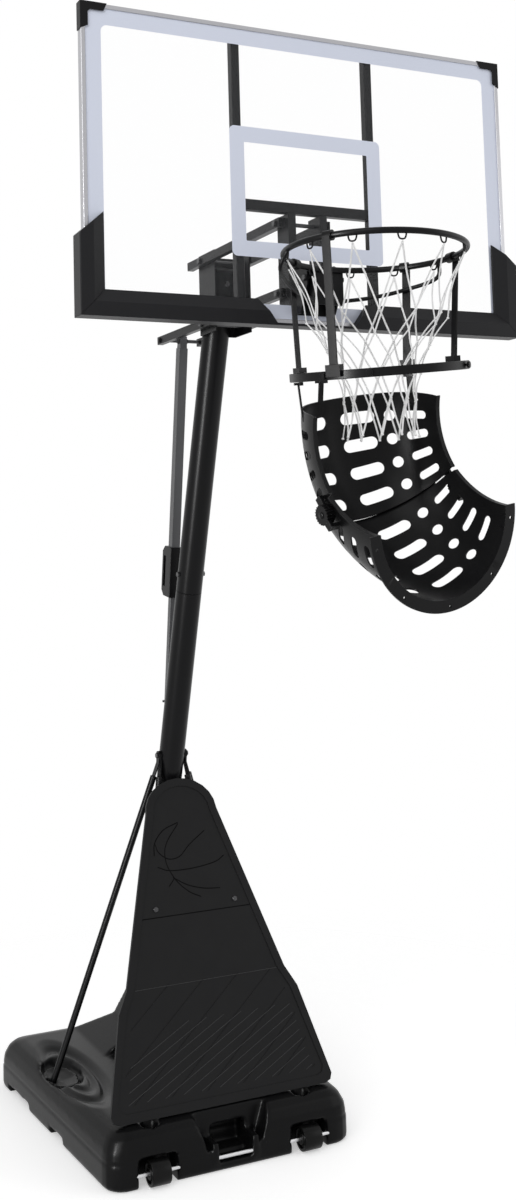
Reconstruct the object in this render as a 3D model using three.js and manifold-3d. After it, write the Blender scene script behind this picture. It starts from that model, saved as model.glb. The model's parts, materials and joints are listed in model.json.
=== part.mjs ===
// A portable basketball stand with a return chute under the rim.
// Millimetres, +Z up, -Y towards the player, origin at the centre of the base's underside.
import * as THREE from 'three';
import Module from 'manifold-3d';
import { mergeVertices } from 'three/addons/utils/BufferGeometryUtils.js';

const wasm = await Module();
wasm.setup();

// Clearances that every fit shares.
const seatGap = 0.3;
const runningGap = 0.6;
const cutOverrun = 12;

// Base tank.
const baseLength = 1000;
const baseFrontWidth = 826;
const baseRearWidth = 924;
const baseHeight = 162;
const baseCornerRadius = 62;
const tankHeightShares = [0, 0.07, 0.44, 0.68, 0.86, 0.96, 1];
const tankInsetShares = [0.05, 0, 0, 0.03, 0.12, 0.24, 0.42];
const humpHalfWidth = 215;
const humpWaistShare = 0.42;
const humpTopHalfWidth = 58;
const humpTopHeight = 330;
const humpDepth = 330;
const socketFloor = 60;
const recessHalfWidth = 128;
const recessFloorShare = 0.16;
const recessDepth = 62;
const pocketHalfWidth = 56;
const pocketDepth = 110;
const axleBlockWidth = 22;
const axleBlockHeight = 58;
const funnelRadius = 34;
const funnelAcross = 258;
const funnelSetback = 66;
const dishHalfWidth = 70;
const dishHalfLength = 128;
const dishDepth = 44;
const footSocketRadius = 19;
const footSocketDepth = 12;
const sideNotchLength = 250;
const sideNotchHeight = 26;
const sideNotchDepth = 30;
const capRadius = 34;
const capHeight = 22;
const capAcross = 300;
const capSetback = 120;

// Wheels and their axle.
const wheelRadius = 37;
const wheelWidth = 62;
const wheelAcross = 255;
const wheelFloorGap = 2;
const axleRadius = 6;
const axleInset = 8;
const housingWidth = 124;
const housingHeight = 86;
const housingDepth = 72;
const axleEndBury = 16;

// Pole.
const poleRadius = 43;
const poleWall = 3;
const poleLean = 17.67;
const poleFootY = 317.4;
const lowerSeamHeight = 920;
const upperSeamHeight = 1740;
const spigotLength = 130;
const seamBoltRadius = 5;
const seamBoltAbove = 56;
const boltHeadRadius = 9;
const boltHeadThickness = 6;

// Cover in front of the pole.
const coverFootY = -437;
const coverLean = 19.85;
const coverLength = 1000;
const coverThickness = 12;
const coverBottomHalfWidth = 378;
const coverShoulderHalfWidth = 312;
const coverWaistHalfWidth = 277;
const coverTopHalfWidth = 128;
const coverShoulderShare = 0.3;
const coverWaistShare = 0.365;
const coverTopShare = 0.945;
const coverCornerRadius = 26;
const coverBorder = 26;
const coverPanelDepth = 3;
const coverGrooveWidth = 5;
const coverGrooveCount = 9;
const coverGrooveSlope = 38;
const coverScrewAcross = 141;
const coverScrewShare = 0.592;
const screwHeadRadius = 8;
const screwHeadThickness = 4;
const screwShankRadius = 3;

// Struts and braces.
const strutBoltAboveCover = 75;
const strutRadius = 11;
const strutEyeThickness = 4;
const strutEyeRadius = 15;
const strutEyeLength = 26;
const strutFlatLength = 46;
const strutFootAcross = 396;
const strutFootY = 94;
const braceFootAcross = 190;
const braceFootY = -205;
const strutBoltRadius = 6;

// Height-adjusting arms.
const rimHeight = 2625.5;
const upperPivotAboveRim = 156.5;
const armSpacing = 200;
const armLength = 515;
const armWidth = 20;
const armDepth = 26;
const armWall = 2;
const lowerArmTail = 360;
const upperArmTail = 95;
const armNose = 22;
const armInnerHalfGap = 62.6;
const pivotRadius = 6;
const tailPivotReach = 338;
const headPlate = 4;
const headDepth = 118;
const headForward = 66;
const headDrop = 30;
const headRise = 26;
const headBoltDrop = 40;
const headBoltReach = 66;

// Telescoping height adjuster.
const adjusterFootAboveStruts = 178;
const lugThickness = 8;
const lugReach = 32.3;
const lugHeight = 46;
const lugPinRadius = 4;
const adjusterTubeSize = 30;
const adjusterTubeWall = 3;
const adjusterTubeLength = 746;
const adjusterRodSize = 21;
const adjusterRodWall = 2;
const adjusterRodLength = 900;
const adjusterTopGap = 24;
const gripLength = 172;
const gripWidth = 42;
const gripDepth = 72;
const gripWindowLength = 104;
const gripWindowDepth = 18;
const gripWindowBehind = 7;
const triggerThickness = 6;
const triggerLength = 84;
const triggerWidth = 18;

// Backboard, measured from its front plane and the rim's plane.
const boardWidth = 1334;
const boardTopAboveRim = 696;
const boardBottomBelowRim = 135;
const railFace = 12;
const railDepth = 25;
const panelThickness = 5;
const panelSetback = 4;
const railBite = 7;
const cornerCapLength = 76;
const cornerCapWidth = 20;
const cornerCapOver = 2;
const padOverSide = 21;
const padOverBottom = 10.5;
const padFront = 27;
const padFace = 38;
const padWidth = 74;
const padThin = 6;
const padBack = 2;
const padEdgeEase = 2;
const padUpperRise = 216;
const padSlant = 64;
const padCutTopHalf = 180;
const padCutBottomHalf = 123;
const carriageSetback = 50;
const tubeSize = 25;
const tubeAcross = 213;
const tubeTopBelow = 38;
const crossbarAboveRim = 194;
const crossbarHeight = 30;
const postWidth = 24;
const postDepth = 66;

// Rim, its bracket and the net.
const rimBore = 450;
const rimRod = 16;
const rimReach = 333;
const bracketHalfWidth = 56;
const bracketPlate = 5;
const bracketTop = 26;
const bracketBottom = 110;
const bracketDepth = 80;
const hingePinForward = 69;
const hingePinDrop = 18.5;
const hingePinRadius = 6;
const flangeHalfWidth = 44;
const flangePlate = 5;
const flangeBottom = 96;
const braceRodRadius = 5.5;
const braceShares = [[60, 0.985, -4.8], [38, 0.99, -3.9], [17, 1.056, -2.6], [11, 1, -0.3]];
const hookCount = 12;
const hookWire = 2.2;
const hookHalfWidth = 11;
const hookDrop = 20;
const netLength = 478;
const netCord = 2.4;
const netKnot = 4;
const netRowShares = [0, 0.34, 0.5, 0.65, 0.8, 1];
const netRadiusShares = [1, 0.78, 0.58, 0.46, 0.41, 0.42];

// Carrier ring and its hangers. The ring hangs a little askew under the rim.
const carrierBelowRim = 309.8;
const carrierRoll = -5.8;
const carrierPitch = 5.2;
const carrierRadius = 222;
const carrierWall = 10;
const carrierHeight = 22;
const carrierLip = 12;
const carrierLipThickness = 6;
const carrierSegments = 36;
const hangerWidth = 22;
const hangerThickness = 5;
const hangerAngles = [-150, -1, 38, 122];
const clampRadius = 13.5;
const clampLength = 24;
const footLength = 40;
const footDepth = 20;
const footHeight = 30;

// Return chute, in a frame at the carrier's centre. Distances along its axes count from the bend.
const chuteRoll = -10;
const chuteTurn = 5.24;
const chuteBendBack = -23.7;
const chuteBendBelow = 330.9;
const upperLean = 48.2;
const upperCurve = 208.4;
const upperRadius = 194;
const upperTop = -266.6;
const upperTopSlant = 22;
const seamDistance = -70;
const lowerLean = 49.9;
const lowerCurve = 270.7;
const lowerOutlet = 140;
const nestGap = 1.5;
const nestOverlap = 14;
const nestReach = 80;
const chuteHalfAngle = 90;
const chuteFacets = 10;
const chuteRows = 3;
const chuteWall = 4;
const chuteLipWidth = 8;
const chuteSeam = 1.5;
const chuteOutletFlange = 32;
const chuteOutletHole = 4;
const chuteOutletHoles = 5;
const chuteTiltRange = 12.5;
const hingeBack = 38.2;
const hingeBelow = 327.9;
const slotRows = 4;
const upperSlotStart = -95;
const upperSlotPitch = -39.5;
const lowerSlotStart = -46.9;
const lowerSlotPitch = 44.5;
const slotLongAngle = 21.2;
const slotLongLength = 96;
const slotLongWidth = 33;
const slotHoleAngle = 47.2;
const slotHoleSize = 30;
const slotSideAngle = 68.75;
const slotSideLength = 66;
const slotSideWidth = 22;
const knuckleRadius = 26;
const knuckleThickness = 12;
const knuckleTeeth = 10;
const knucklePinRadius = 5;
const knuckleToothDepth = 2.5;
const upperKnuckleReach = 44;
const lowerKnuckleReach = 38;
const strapAngles = [-66, -13, 66];
const strapWidth = 18;
const strapThickness = 5;
const shoeLength = 30;
const shoeGap = 0.6;

const degree = Math.PI / 180;
const leanTan = Math.tan(poleLean * degree);
const poleCos = Math.cos(poleLean * degree);

// The struts meet the pole above the cover, and the adjuster's foot sits above them.
const strutBoltHeight = baseHeight + seatGap + coverThickness * Math.sin(coverLean * degree)
  + coverLength * Math.cos(coverLean * degree) + strutBoltAboveCover;
const adjusterFootHeight = strutBoltHeight + adjusterFootAboveStruts;

// The pole's axis leans forward as it rises.
function poleAxisY(height) {
  return poleFootY - height * leanTan;
}

const upperPivotHeight = rimHeight + upperPivotAboveRim;
const lowerPivotHeight = upperPivotHeight - armSpacing;
const headPivotY = poleAxisY(upperPivotHeight);
const boardFrontY = headPivotY - armLength - carriageSetback;
const rimCentreY = boardFrontY - rimReach;
const rimRadius = (rimBore + rimRod) / 2;

// Materials.
function finish(color, roughness, metalness, opacity = 1) {
  return new THREE.MeshStandardMaterial({
    color, roughness, metalness, opacity, transparent: opacity < 1,
  });
}
const blackSteel = () => finish('#1d1d1f', 0.45, 0.5);
const blackPlastic = () => finish('#161617', 0.55, 0);
const coverPlastic = () => finish('#262627', 0.7, 0);
const padRubber = () => finish('#2b2b2d', 0.65, 0);
const aluminium = () => finish('#b4b6ba', 0.35, 0.9);
const clearAcrylic = () => finish('#eef1f8', 0.08, 0, 0.35);
const brightSteel = () => finish('#c9cacc', 0.25, 1);
const greyTube = () => finish('#57585b', 0.45, 0.6);
const whiteCord = () => finish('#f2f2f0', 0.9, 0);

// A closed geometry becomes a solid that can be joined and cut.
function solid(geometry, matrix) {
  const plain = geometry.clone();
  if (matrix) plain.applyMatrix4(matrix);
  plain.deleteAttribute('normal');
  plain.deleteAttribute('uv');
  const merged = mergeVertices(plain);
  return new wasm.Manifold(new wasm.Mesh({
    numProp: 3,
    vertProperties: new Float32Array(merged.attributes.position.array),
    triVerts: new Uint32Array(merged.index.array),
  }));
}

function geometryOf(body) {
  const mesh = body.getMesh();
  const geometry = new THREE.BufferGeometry();
  geometry.setAttribute('position', new THREE.BufferAttribute(mesh.vertProperties.slice(), 3));
  geometry.setIndex(new THREE.BufferAttribute(mesh.triVerts.slice(), 1));
  geometry.computeVertexNormals();
  return geometry;
}

function piece(name, body, material) {
  const mesh = new THREE.Mesh(geometryOf(body), material);
  mesh.name = name;
  return mesh;
}

function at(x, y, z) {
  return new THREE.Matrix4().makeTranslation(x, y, z);
}

function vec(x, y, z) {
  return new THREE.Vector3(x, y, z);
}

function join(first, ...others) {
  return others.reduce((sum, body) => sum.add(body), first);
}

function cut(first, ...others) {
  return others.reduce((rest, body) => rest.subtract(body), first);
}

// A box between two opposite corners.
function boxFrom(x0, x1, y0, y1, z0, z1) {
  const geometry = new THREE.BoxGeometry(Math.abs(x1 - x0), Math.abs(y1 - y0), Math.abs(z1 - z0));
  return solid(geometry, at((x0 + x1) / 2, (y0 + y1) / 2, (z0 + z1) / 2));
}

// A frame whose z axis runs along a direction and whose x axis stays close to the object's.
function alongFrame(origin, direction) {
  const z = direction.clone().normalize();
  const guide = Math.abs(z.x) > 0.9 ? vec(0, 1, 0) : vec(1, 0, 0);
  const y = z.clone().cross(guide).normalize();
  const x = y.clone().cross(z);
  return new THREE.Matrix4().makeBasis(x, y, z).setPosition(origin);
}

// A round bar from one point to another.
function rod(radius, start, end, sides = 16) {
  const span = end.clone().sub(start);
  const geometry = new THREE.CylinderGeometry(radius, radius, span.length(), sides);
  geometry.rotateX(Math.PI / 2).translate(0, 0, span.length() / 2);
  return solid(geometry, alongFrame(start, span));
}

// A rectangular bar from one point to another.
function bar(width, depth, start, end) {
  const span = end.clone().sub(start);
  const geometry = new THREE.BoxGeometry(width, depth, span.length()).translate(0, 0, span.length() / 2);
  return solid(geometry, alongFrame(start, span));
}

function crossRod(radius, x0, x1, y, z, sides = 12) {
  return rod(radius, vec(x0, y, z), vec(x1, y, z), sides);
}

// A through bolt along X with a head and a nut.
function crossBolt(radius, headRadius, headThickness, halfSpan, y, z) {
  return join(
    crossRod(radius, -halfSpan - headThickness / 2, halfSpan + headThickness / 2, y, z),
    crossRod(headRadius, -halfSpan - headThickness, -halfSpan, y, z, 6),
    crossRod(headRadius, halfSpan, halfSpan + headThickness, y, z, 6),
  );
}

// A closed profile of [radius, height] points turned about Z.
function turned(profile, segments = 32, matrix) {
  const points = profile.map(([radius, height]) => new THREE.Vector2(radius, height));
  if (profile[0][0] > 0) points.push(points[0].clone());
  return solid(new THREE.LatheGeometry(points, segments).rotateX(Math.PI / 2), matrix);
}

// An outline in X and Z, given a thickness in Y.
function plateXZ(points, y0, y1) {
  const shape = new THREE.Shape(points.map(([x, z]) => new THREE.Vector2(x, z)));
  const geometry = new THREE.ExtrudeGeometry(shape, { depth: Math.abs(y1 - y0), bevelEnabled: false });
  return solid(geometry.rotateX(Math.PI / 2), at(0, Math.max(y0, y1), 0));
}

// An outline in Y and Z, given a thickness in X.
function plateYZ(points, x0, x1) {
  const shape = new THREE.Shape(points.map(([y, z]) => new THREE.Vector2(y, z)));
  const geometry = new THREE.ExtrudeGeometry(shape, { depth: Math.abs(x1 - x0), bevelEnabled: false });
  const turn = new THREE.Matrix4().makeBasis(vec(0, 1, 0), vec(0, 0, 1), vec(1, 0, 0));
  return solid(geometry, turn.setPosition(Math.min(x0, x1), 0, 0));
}

// A closed body from indexed quads and triangles.
function fromFaces(vertices, faces) {
  const geometry = new THREE.BufferGeometry();
  const positions = vertices.flatMap((point) => [point.x, point.y, point.z]);
  geometry.setAttribute('position', new THREE.Float32BufferAttribute(positions, 3));
  geometry.setIndex(faces);
  return solid(geometry);
}

// Rings of points, counter-clockwise seen from above, stacked from the bottom up.
function loft(rings) {
  const count = rings[0].length;
  const vertices = rings.flat();
  const faces = [];
  for (let k = 0; k + 1 < rings.length; k += 1) {
    for (let i = 0; i < count; i += 1) {
      const j = (i + 1) % count;
      const low = k * count;
      const high = low + count;
      faces.push(low + i, low + j, high + j, low + i, high + j, high + i);
    }
  }
  const top = (rings.length - 1) * count;
  for (let i = 1; i + 1 < count; i += 1) {
    faces.push(0, i + 1, i, top, top + i, top + i + 1);
  }
  return fromFaces(vertices, faces);
}

// A sheet with two faces: rows of [inner, outer] pairs, closed along all its edges.
function sheet(rows) {
  const count = rows[0].length;
  const vertices = rows.flat(2);
  const inner = (k, i) => 2 * (k * count + i);
  const outer = (k, i) => inner(k, i) + 1;
  const faces = [];
  const quad = (a, b, c, d) => faces.push(a, c, b, a, d, c);
  for (let k = 0; k + 1 < rows.length; k += 1) {
    for (let i = 0; i + 1 < count; i += 1) {
      quad(inner(k, i), inner(k, i + 1), inner(k + 1, i + 1), inner(k + 1, i));
      quad(outer(k, i), outer(k + 1, i), outer(k + 1, i + 1), outer(k, i + 1));
    }
    quad(inner(k, 0), inner(k + 1, 0), outer(k + 1, 0), outer(k, 0));
    quad(inner(k, count - 1), outer(k, count - 1), outer(k + 1, count - 1), inner(k + 1, count - 1));
  }
  const last = rows.length - 1;
  for (let i = 0; i + 1 < count; i += 1) {
    quad(inner(0, i), outer(0, i), outer(0, i + 1), inner(0, i + 1));
    quad(inner(last, i), inner(last, i + 1), outer(last, i + 1), outer(last, i));
  }
  return fromFaces(vertices, faces);
}

// A slot's prism: a rectangle with round ends, long along x, cut along z.
function slotPrism(length, width, depth, matrix) {
  const shape = new THREE.Shape();
  const half = length / 2 - width / 2;
  shape.absarc(half, 0, width / 2, -Math.PI / 2, Math.PI / 2, false);
  shape.absarc(-half, 0, width / 2, Math.PI / 2, Math.PI * 1.5, false);
  const geometry = new THREE.ExtrudeGeometry(shape, { depth, bevelEnabled: false, curveSegments: 2 });
  return solid(geometry.translate(0, 0, -depth / 2), matrix);
}

// Base tank: a rounded slab with a hump round the pole's foot.
const axleY = -baseLength / 2 + axleInset;
const axleZ = wheelRadius + wheelFloorGap;

function tankRing(inset, height) {
  const front = -baseLength / 2 + inset;
  const rear = baseLength / 2 - inset;
  const frontHalf = baseFrontWidth / 2 - inset;
  const rearHalf = baseRearWidth / 2 - inset;
  const radius = Math.max(baseCornerRadius - inset / 2, baseCornerRadius / 2);
  const corners = [[frontHalf, front, -90], [rearHalf, rear, 0], [-rearHalf, rear, 90], [-frontHalf, front, 180]];
  const steps = 4;
  return corners.flatMap(([x, y, from]) => {
    const centreX = x - Math.sign(x) * radius;
    const centreY = y - Math.sign(y) * radius;
    return Array.from({ length: steps + 1 }, (unused, k) => {
      const angle = (from + (90 * k) / steps) * degree;
      return vec(centreX + radius * Math.cos(angle), centreY + radius * Math.sin(angle), height);
    });
  });
}

function humpRing(halfWidth, front, rear, height) {
  return [vec(-halfWidth, front, height), vec(halfWidth, front, height),
    vec(halfWidth, rear, height), vec(-halfWidth, rear, height)];
}

function sideHalfWidth(y) {
  const share = (y + baseLength / 2) / baseLength;
  return (baseFrontWidth + (baseRearWidth - baseFrontWidth) * share) / 2;
}

const poleAxisDirection = vec(0, -Math.sin(poleLean * degree), poleCos);

function onPole(height) {
  return vec(0, poleAxisY(height), height);
}

function baseTank() {
  const rings = tankHeightShares.map((share, k) => (
    tankRing(tankInsetShares[k] * baseHeight, share * baseHeight)));
  const topY = poleAxisY(humpTopHeight);
  const waist = baseHeight + (humpTopHeight - baseHeight) * humpWaistShare;
  const rear = baseLength / 2 - tankInsetShares[5] * baseHeight;
  const hump = loft([
    humpRing(humpHalfWidth, rear - humpDepth, rear, baseHeight - cutOverrun),
    humpRing(humpHalfWidth * humpWaistShare, topY - humpDepth / 3, topY + humpDepth / 3, waist),
    humpRing(humpTopHalfWidth, topY - humpTopHalfWidth, topY + humpTopHalfWidth, humpTopHeight),
  ]);
  let body = join(loft(rings), hump);
  const front = -baseLength / 2;
  const recessFloor = baseHeight * recessFloorShare;
  const above = baseHeight + cutOverrun;
  body = cut(body, plateXZ([
    [-recessHalfWidth * 0.62, recessFloor], [recessHalfWidth * 0.62, recessFloor],
    [recessHalfWidth, above], [-recessHalfWidth, above],
  ], front - cutOverrun, front + recessDepth));
  body = cut(body, boxFrom(-pocketHalfWidth, pocketHalfWidth,
    front, front + pocketDepth, recessFloor + cutOverrun, baseHeight * 0.7));
  for (const side of [-1, 1]) {
    const blockX = side * (pocketHalfWidth + axleBlockWidth / 2);
    body = join(body, boxFrom(blockX - axleBlockWidth / 2, blockX + axleBlockWidth / 2,
      axleY - axleRadius * 2, front + recessDepth + seatGap, recessFloor - seatGap,
      recessFloor + axleBlockHeight));
    body = cut(body, boxFrom(side * wheelAcross - housingWidth / 2, side * wheelAcross + housingWidth / 2,
      front - cutOverrun, front + housingDepth, -cutOverrun, housingHeight));
    const funnel = new THREE.CylinderGeometry(funnelRadius, funnelRadius * 0.4, baseHeight * 0.4, 12);
    body = cut(body, solid(funnel.rotateX(Math.PI / 2),
      at(side * funnelAcross, front + funnelSetback, baseHeight * 0.86)));
    const dish = new THREE.SphereGeometry(1, 12, 6).scale(dishHalfWidth, dishHalfLength, dishDepth);
    body = cut(body, solid(dish, at(side * (strutFootAcross - dishHalfWidth / 2), strutFootY, baseHeight)));
    body = cut(body, rod(footSocketRadius,
      vec(side * strutFootAcross, strutFootY, strutSocketHeight),
      vec(side * strutFootAcross, strutFootY, above), 12));
    for (const share of [0.44, 0.79]) {
      const middle = front + baseLength * share;
      const edge = side * sideHalfWidth(middle);
      body = cut(body, boxFrom(edge - side * sideNotchDepth, edge + side * sideNotchDepth,
        middle - sideNotchLength * share / 2, middle + sideNotchLength * share / 2,
        -cutOverrun, sideNotchHeight));
    }
  }
  const capY = baseLength / 2 - capSetback;
  body = cut(body,
    crossRod(axleRadius + seatGap, -axleHalf - seatGap, axleHalf + seatGap, axleY, axleZ),
    rod(poleRadius + seatGap, onPole(socketFloor), onPole(humpTopHeight + poleRadius), 24),
    crossRod(seamBoltRadius + seatGap, -humpHalfWidth, humpHalfWidth, poleAxisY(footBoltHeight), footBoltHeight),
    rod(capRadius * 0.8 + seatGap, vec(capAcross, capY, baseHeight - capHeight), vec(capAcross, capY, above), 16));
  return piece('base_tank', body, blackPlastic());
}

const axleHalf = wheelAcross + housingWidth / 2 + axleEndBury;
const footBoltHeight = (humpTopHeight * 2 + baseHeight) / 3;
const strutFootHeight = baseHeight - dishDepth;
const strutSocketHeight = strutFootHeight - footSocketDepth;

function fillCap() {
  const top = baseHeight + seatGap;
  const body = join(
    turned([[0, top], [capRadius, top], [capRadius * 0.92, top + capHeight * 0.6], [0, top + capHeight * 0.6]], 16),
    turned([[0, top - capHeight * 0.7], [capRadius * 0.8, top - capHeight * 0.7],
      [capRadius * 0.8, top + seatGap], [0, top + seatGap]], 16),
    boxFrom(-capRadius * 0.8, capRadius * 0.8, -capRadius * 0.12, capRadius * 0.12, top, top + capHeight),
  );
  const mesh = piece('fill_cap', body, blackPlastic());
  mesh.position.set(capAcross, baseLength / 2 - capSetback, 0);
  return mesh;
}

function wheelAxle() {
  return piece('wheel_axle', crossRod(axleRadius, -axleHalf, axleHalf, axleY, axleZ), brightSteel());
}

function wheel(name) {
  const half = wheelWidth / 2;
  const bore = axleRadius + runningGap;
  const body = turned([[bore, -half], [wheelRadius * 0.9, -half], [wheelRadius, -half * 0.82],
    [wheelRadius, half * 0.82], [wheelRadius * 0.9, half], [bore, half]], 20);
  const mesh = piece(name, body, blackPlastic());
  mesh.rotation.y = Math.PI / 2;
  return mesh;
}

// Pole sections, on the pole's own axis with z along it.
function alongPole(height) {
  return height / poleCos;
}

function poleSection(low, high, hasSpigot, closedTop) {
  const start = alongPole(low);
  const end = alongPole(high);
  const inner = poleRadius - poleWall;
  const profile = [];
  if (hasSpigot) {
    profile.push([inner - seatGap - poleWall, start - spigotLength], [inner - seatGap, start - spigotLength],
      [inner - seatGap, start]);
  } else {
    profile.push([inner - seatGap - poleWall, start]);
  }
  profile.push([poleRadius, start], [poleRadius, end]);
  if (closedTop) {
    profile.push([0, end], [0, end - poleWall], [inner - seatGap - poleWall, end - poleWall]);
  } else {
    profile.push([inner, end], [inner, start + poleWall * 4], [inner - seatGap - poleWall, start + poleWall * 2]);
  }
  const points = profile.map(([radius, height]) => new THREE.Vector2(radius, height));
  points.push(points[0].clone());
  return solid(new THREE.LatheGeometry(points, 24).rotateX(Math.PI / 2));
}

// A bolt hole across the pole, in the pole's own frame.
function poleHole(height, radius) {
  return crossRod(radius + seatGap, -poleRadius * 2, poleRadius * 2, 0, alongPole(height));
}

const seamBoltHeight = upperSeamHeight + seamBoltAbove;
const poleTopHeight = upperPivotHeight - pivotRadius * 3;

function pole() {
  const group = new THREE.Group();
  group.position.y = poleFootY;
  group.rotation.x = poleLean * degree;
  const lower = cut(poleSection(socketFloor + seatGap, lowerSeamHeight, false, false),
    poleHole(footBoltHeight, seamBoltRadius));
  const middle = cut(poleSection(lowerSeamHeight + seatGap, upperSeamHeight, true, false),
    poleHole(strutBoltHeight, strutBoltRadius));
  const upper = cut(poleSection(upperSeamHeight + seatGap, poleTopHeight, true, true),
    poleHole(seamBoltHeight, seamBoltRadius),
    rod(seamBoltRadius + seatGap, vec(0, -poleRadius * 2, alongPole(headBoltHeight)),
      vec(0, poleRadius * 2, alongPole(headBoltHeight)), 16));
  group.add(piece('pole_lower', lower, blackSteel()));
  group.add(piece('pole_middle', middle, blackSteel()));
  group.add(piece('pole_upper', upper, blackSteel()));
  const boltHalf = poleRadius + seatGap;
  group.add(piece('pole_seam_bolt', crossBolt(seamBoltRadius, boltHeadRadius, boltHeadThickness, boltHalf,
    0, alongPole(seamBoltHeight)), blackSteel()));
  const headBolt = join(
    rod(seamBoltRadius, vec(0, -boltHalf - boltHeadThickness, alongPole(headBoltHeight)),
      vec(0, headBoltReach, alongPole(headBoltHeight)), 16),
    rod(boltHeadRadius, vec(0, -boltHalf - boltHeadThickness, alongPole(headBoltHeight)),
      vec(0, -boltHalf, alongPole(headBoltHeight)), 6),
    rod(boltHeadRadius, vec(0, headBoltReach - boltHeadThickness, alongPole(headBoltHeight)),
      vec(0, headBoltReach, alongPole(headBoltHeight)), 6),
  );
  group.add(piece('pole_head_bolt', headBolt, blackSteel()));
  return group;
}

const headBoltHeight = poleTopHeight - headBoltDrop;

// A bolt right through the hump and the pole's foot.
function poleFootBolt() {
  const share = (footBoltHeight - baseHeight) / (humpTopHeight - baseHeight);
  const waistHalf = humpHalfWidth * humpWaistShare;
  const half = waistHalf + ((humpTopHalfWidth - waistHalf) * (share - humpWaistShare)) / (1 - humpWaistShare);
  return piece('pole_foot_bolt', crossBolt(seamBoltRadius, boltHeadRadius, boltHeadThickness,
    half + boltHeadThickness, poleAxisY(footBoltHeight), footBoltHeight), blackSteel());
}

// Channel that is welded to the back of the pole's head and carries both arm pivots.
function poleHeadChannel() {
  const outer = armInnerHalfGap - runningGap;
  const inner = outer - headPlate;
  const front = headPivotY - headForward;
  const rear = front + headDepth;
  const low = lowerPivotHeight - headDrop;
  const high = upperPivotHeight + headRise;
  let body = cut(boxFrom(-outer, outer, front, rear, low, high),
    boxFrom(-inner, inner, front - cutOverrun, rear - headPlate, low - cutOverrun, high + cutOverrun));
  body = cut(body, rod(poleRadius + seatGap, onPole(upperSeamHeight), onPole(high + poleRadius), 24));
  for (const height of [lowerPivotHeight, upperPivotHeight]) {
    body = cut(body, crossRod(pivotRadius + seatGap, -outer - cutOverrun, outer + cutOverrun, headPivotY, height));
  }
  const boltStart = onPole(headBoltHeight);
  const boltWay = vec(0, poleCos, Math.sin(poleLean * degree));
  body = cut(body, rod(seamBoltRadius + seatGap, boltStart,
    boltStart.clone().addScaledVector(boltWay, headBoltReach + cutOverrun), 16));
  return piece('pole_head_channel', body, blackSteel());
}

function headPivotBolt(name, height) {
  return piece(name, crossBolt(pivotRadius, boltHeadRadius + 2 * seatGap, boltHeadThickness,
    armInnerHalfGap + armWidth + runningGap, headPivotY, height), blackSteel());
}

// A lug on the pole's back that holds the adjuster's lower end.
const lugY = poleAxisY(adjusterFootHeight) + poleRadius / poleCos + lugReach;

function adjusterLug() {
  const nearPole = poleAxisY(adjusterFootHeight);
  const half = lugHeight / 2;
  let body = plateYZ([
    [nearPole, adjusterFootHeight - half], [lugY, adjusterFootHeight - half * 0.6],
    [lugY + lugReach * 0.4, adjusterFootHeight], [lugY, adjusterFootHeight + half * 0.6],
    [nearPole, adjusterFootHeight + half],
  ], -lugThickness / 2, lugThickness / 2);
  const strip = boxFrom(-lugThickness * 2, lugThickness * 2, nearPole, lugY - lugReach * 0.62,
    adjusterFootHeight - half, adjusterFootHeight + half);
  body = cut(join(body, strip), rod(poleRadius + seatGap, onPole(lowerSeamHeight), onPole(upperSeamHeight), 24));
  body = cut(body, crossRod(lugPinRadius + seatGap, -lugThickness, lugThickness, lugY, adjusterFootHeight));
  return piece('adjuster_lug', body, blackSteel());
}

// Cover panel, flat in its own frame: x across, z up its face, front at y = 0.
function coverOutline(inset) {
  const top = coverLength - inset;
  const arcFoot = coverLength * coverTopShare;
  const radius = coverTopHalfWidth;
  const points = [];
  const right = [
    [coverBottomHalfWidth - inset - coverCornerRadius, inset],
    [coverBottomHalfWidth - inset - coverCornerRadius * 0.3, inset + coverCornerRadius * 0.3],
    [coverBottomHalfWidth - inset, inset + coverCornerRadius],
    [coverShoulderHalfWidth - inset, coverLength * coverShoulderShare],
    [coverWaistHalfWidth - inset, coverLength * coverWaistShare],
    [radius - inset, arcFoot - coverLength * (1 - coverTopShare)],
  ];
  const rise = top - (arcFoot - coverLength * (1 - coverTopShare));
  for (let k = 1; k < 6; k += 1) {
    const angle = (k * 15) * degree;
    right.push([(radius - inset) * Math.cos(angle), top - rise * (1 - Math.sin(angle))]);
  }
  points.push(...right, [0, top], ...right.reverse().map(([x, z]) => [-x, z]));
  return points;
}

function coverBody() {
  let body = plateXZ(coverOutline(0), 0, coverThickness);
  body = cut(body, plateXZ(coverOutline(coverBorder), -cutOverrun, coverPanelDepth));
  const bandTop = coverLength * coverWaistShare;
  const clip = plateXZ(coverOutline(coverBorder * 1.8), -cutOverrun, coverPanelDepth * 2).intersect(
    boxFrom(-coverBottomHalfWidth, coverBottomHalfWidth, -cutOverrun, coverThickness, 0, bandTop));
  const reach = coverBottomHalfWidth * 2;
  const slope = Math.tan(coverGrooveSlope * degree);
  for (let k = 0; k < coverGrooveCount; k += 1) {
    const x = -coverBottomHalfWidth * 1.6 + (k * coverBottomHalfWidth * 2.9) / coverGrooveCount;
    const groove = plateXZ([
      [x, 0], [x + coverGrooveWidth, 0],
      [x + coverGrooveWidth + reach, reach * slope], [x + reach, reach * slope],
    ], 0, coverPanelDepth * 1.5);
    body = cut(body, groove.intersect(clip));
  }
  for (const side of [-1, 1]) {
    body = cut(body, rod(screwShankRadius + seatGap,
      vec(side * coverScrewAcross, -cutOverrun, coverLength * coverScrewShare),
      vec(side * coverScrewAcross, coverThickness + cutOverrun, coverLength * coverScrewShare), 12));
  }
  return body;
}

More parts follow.
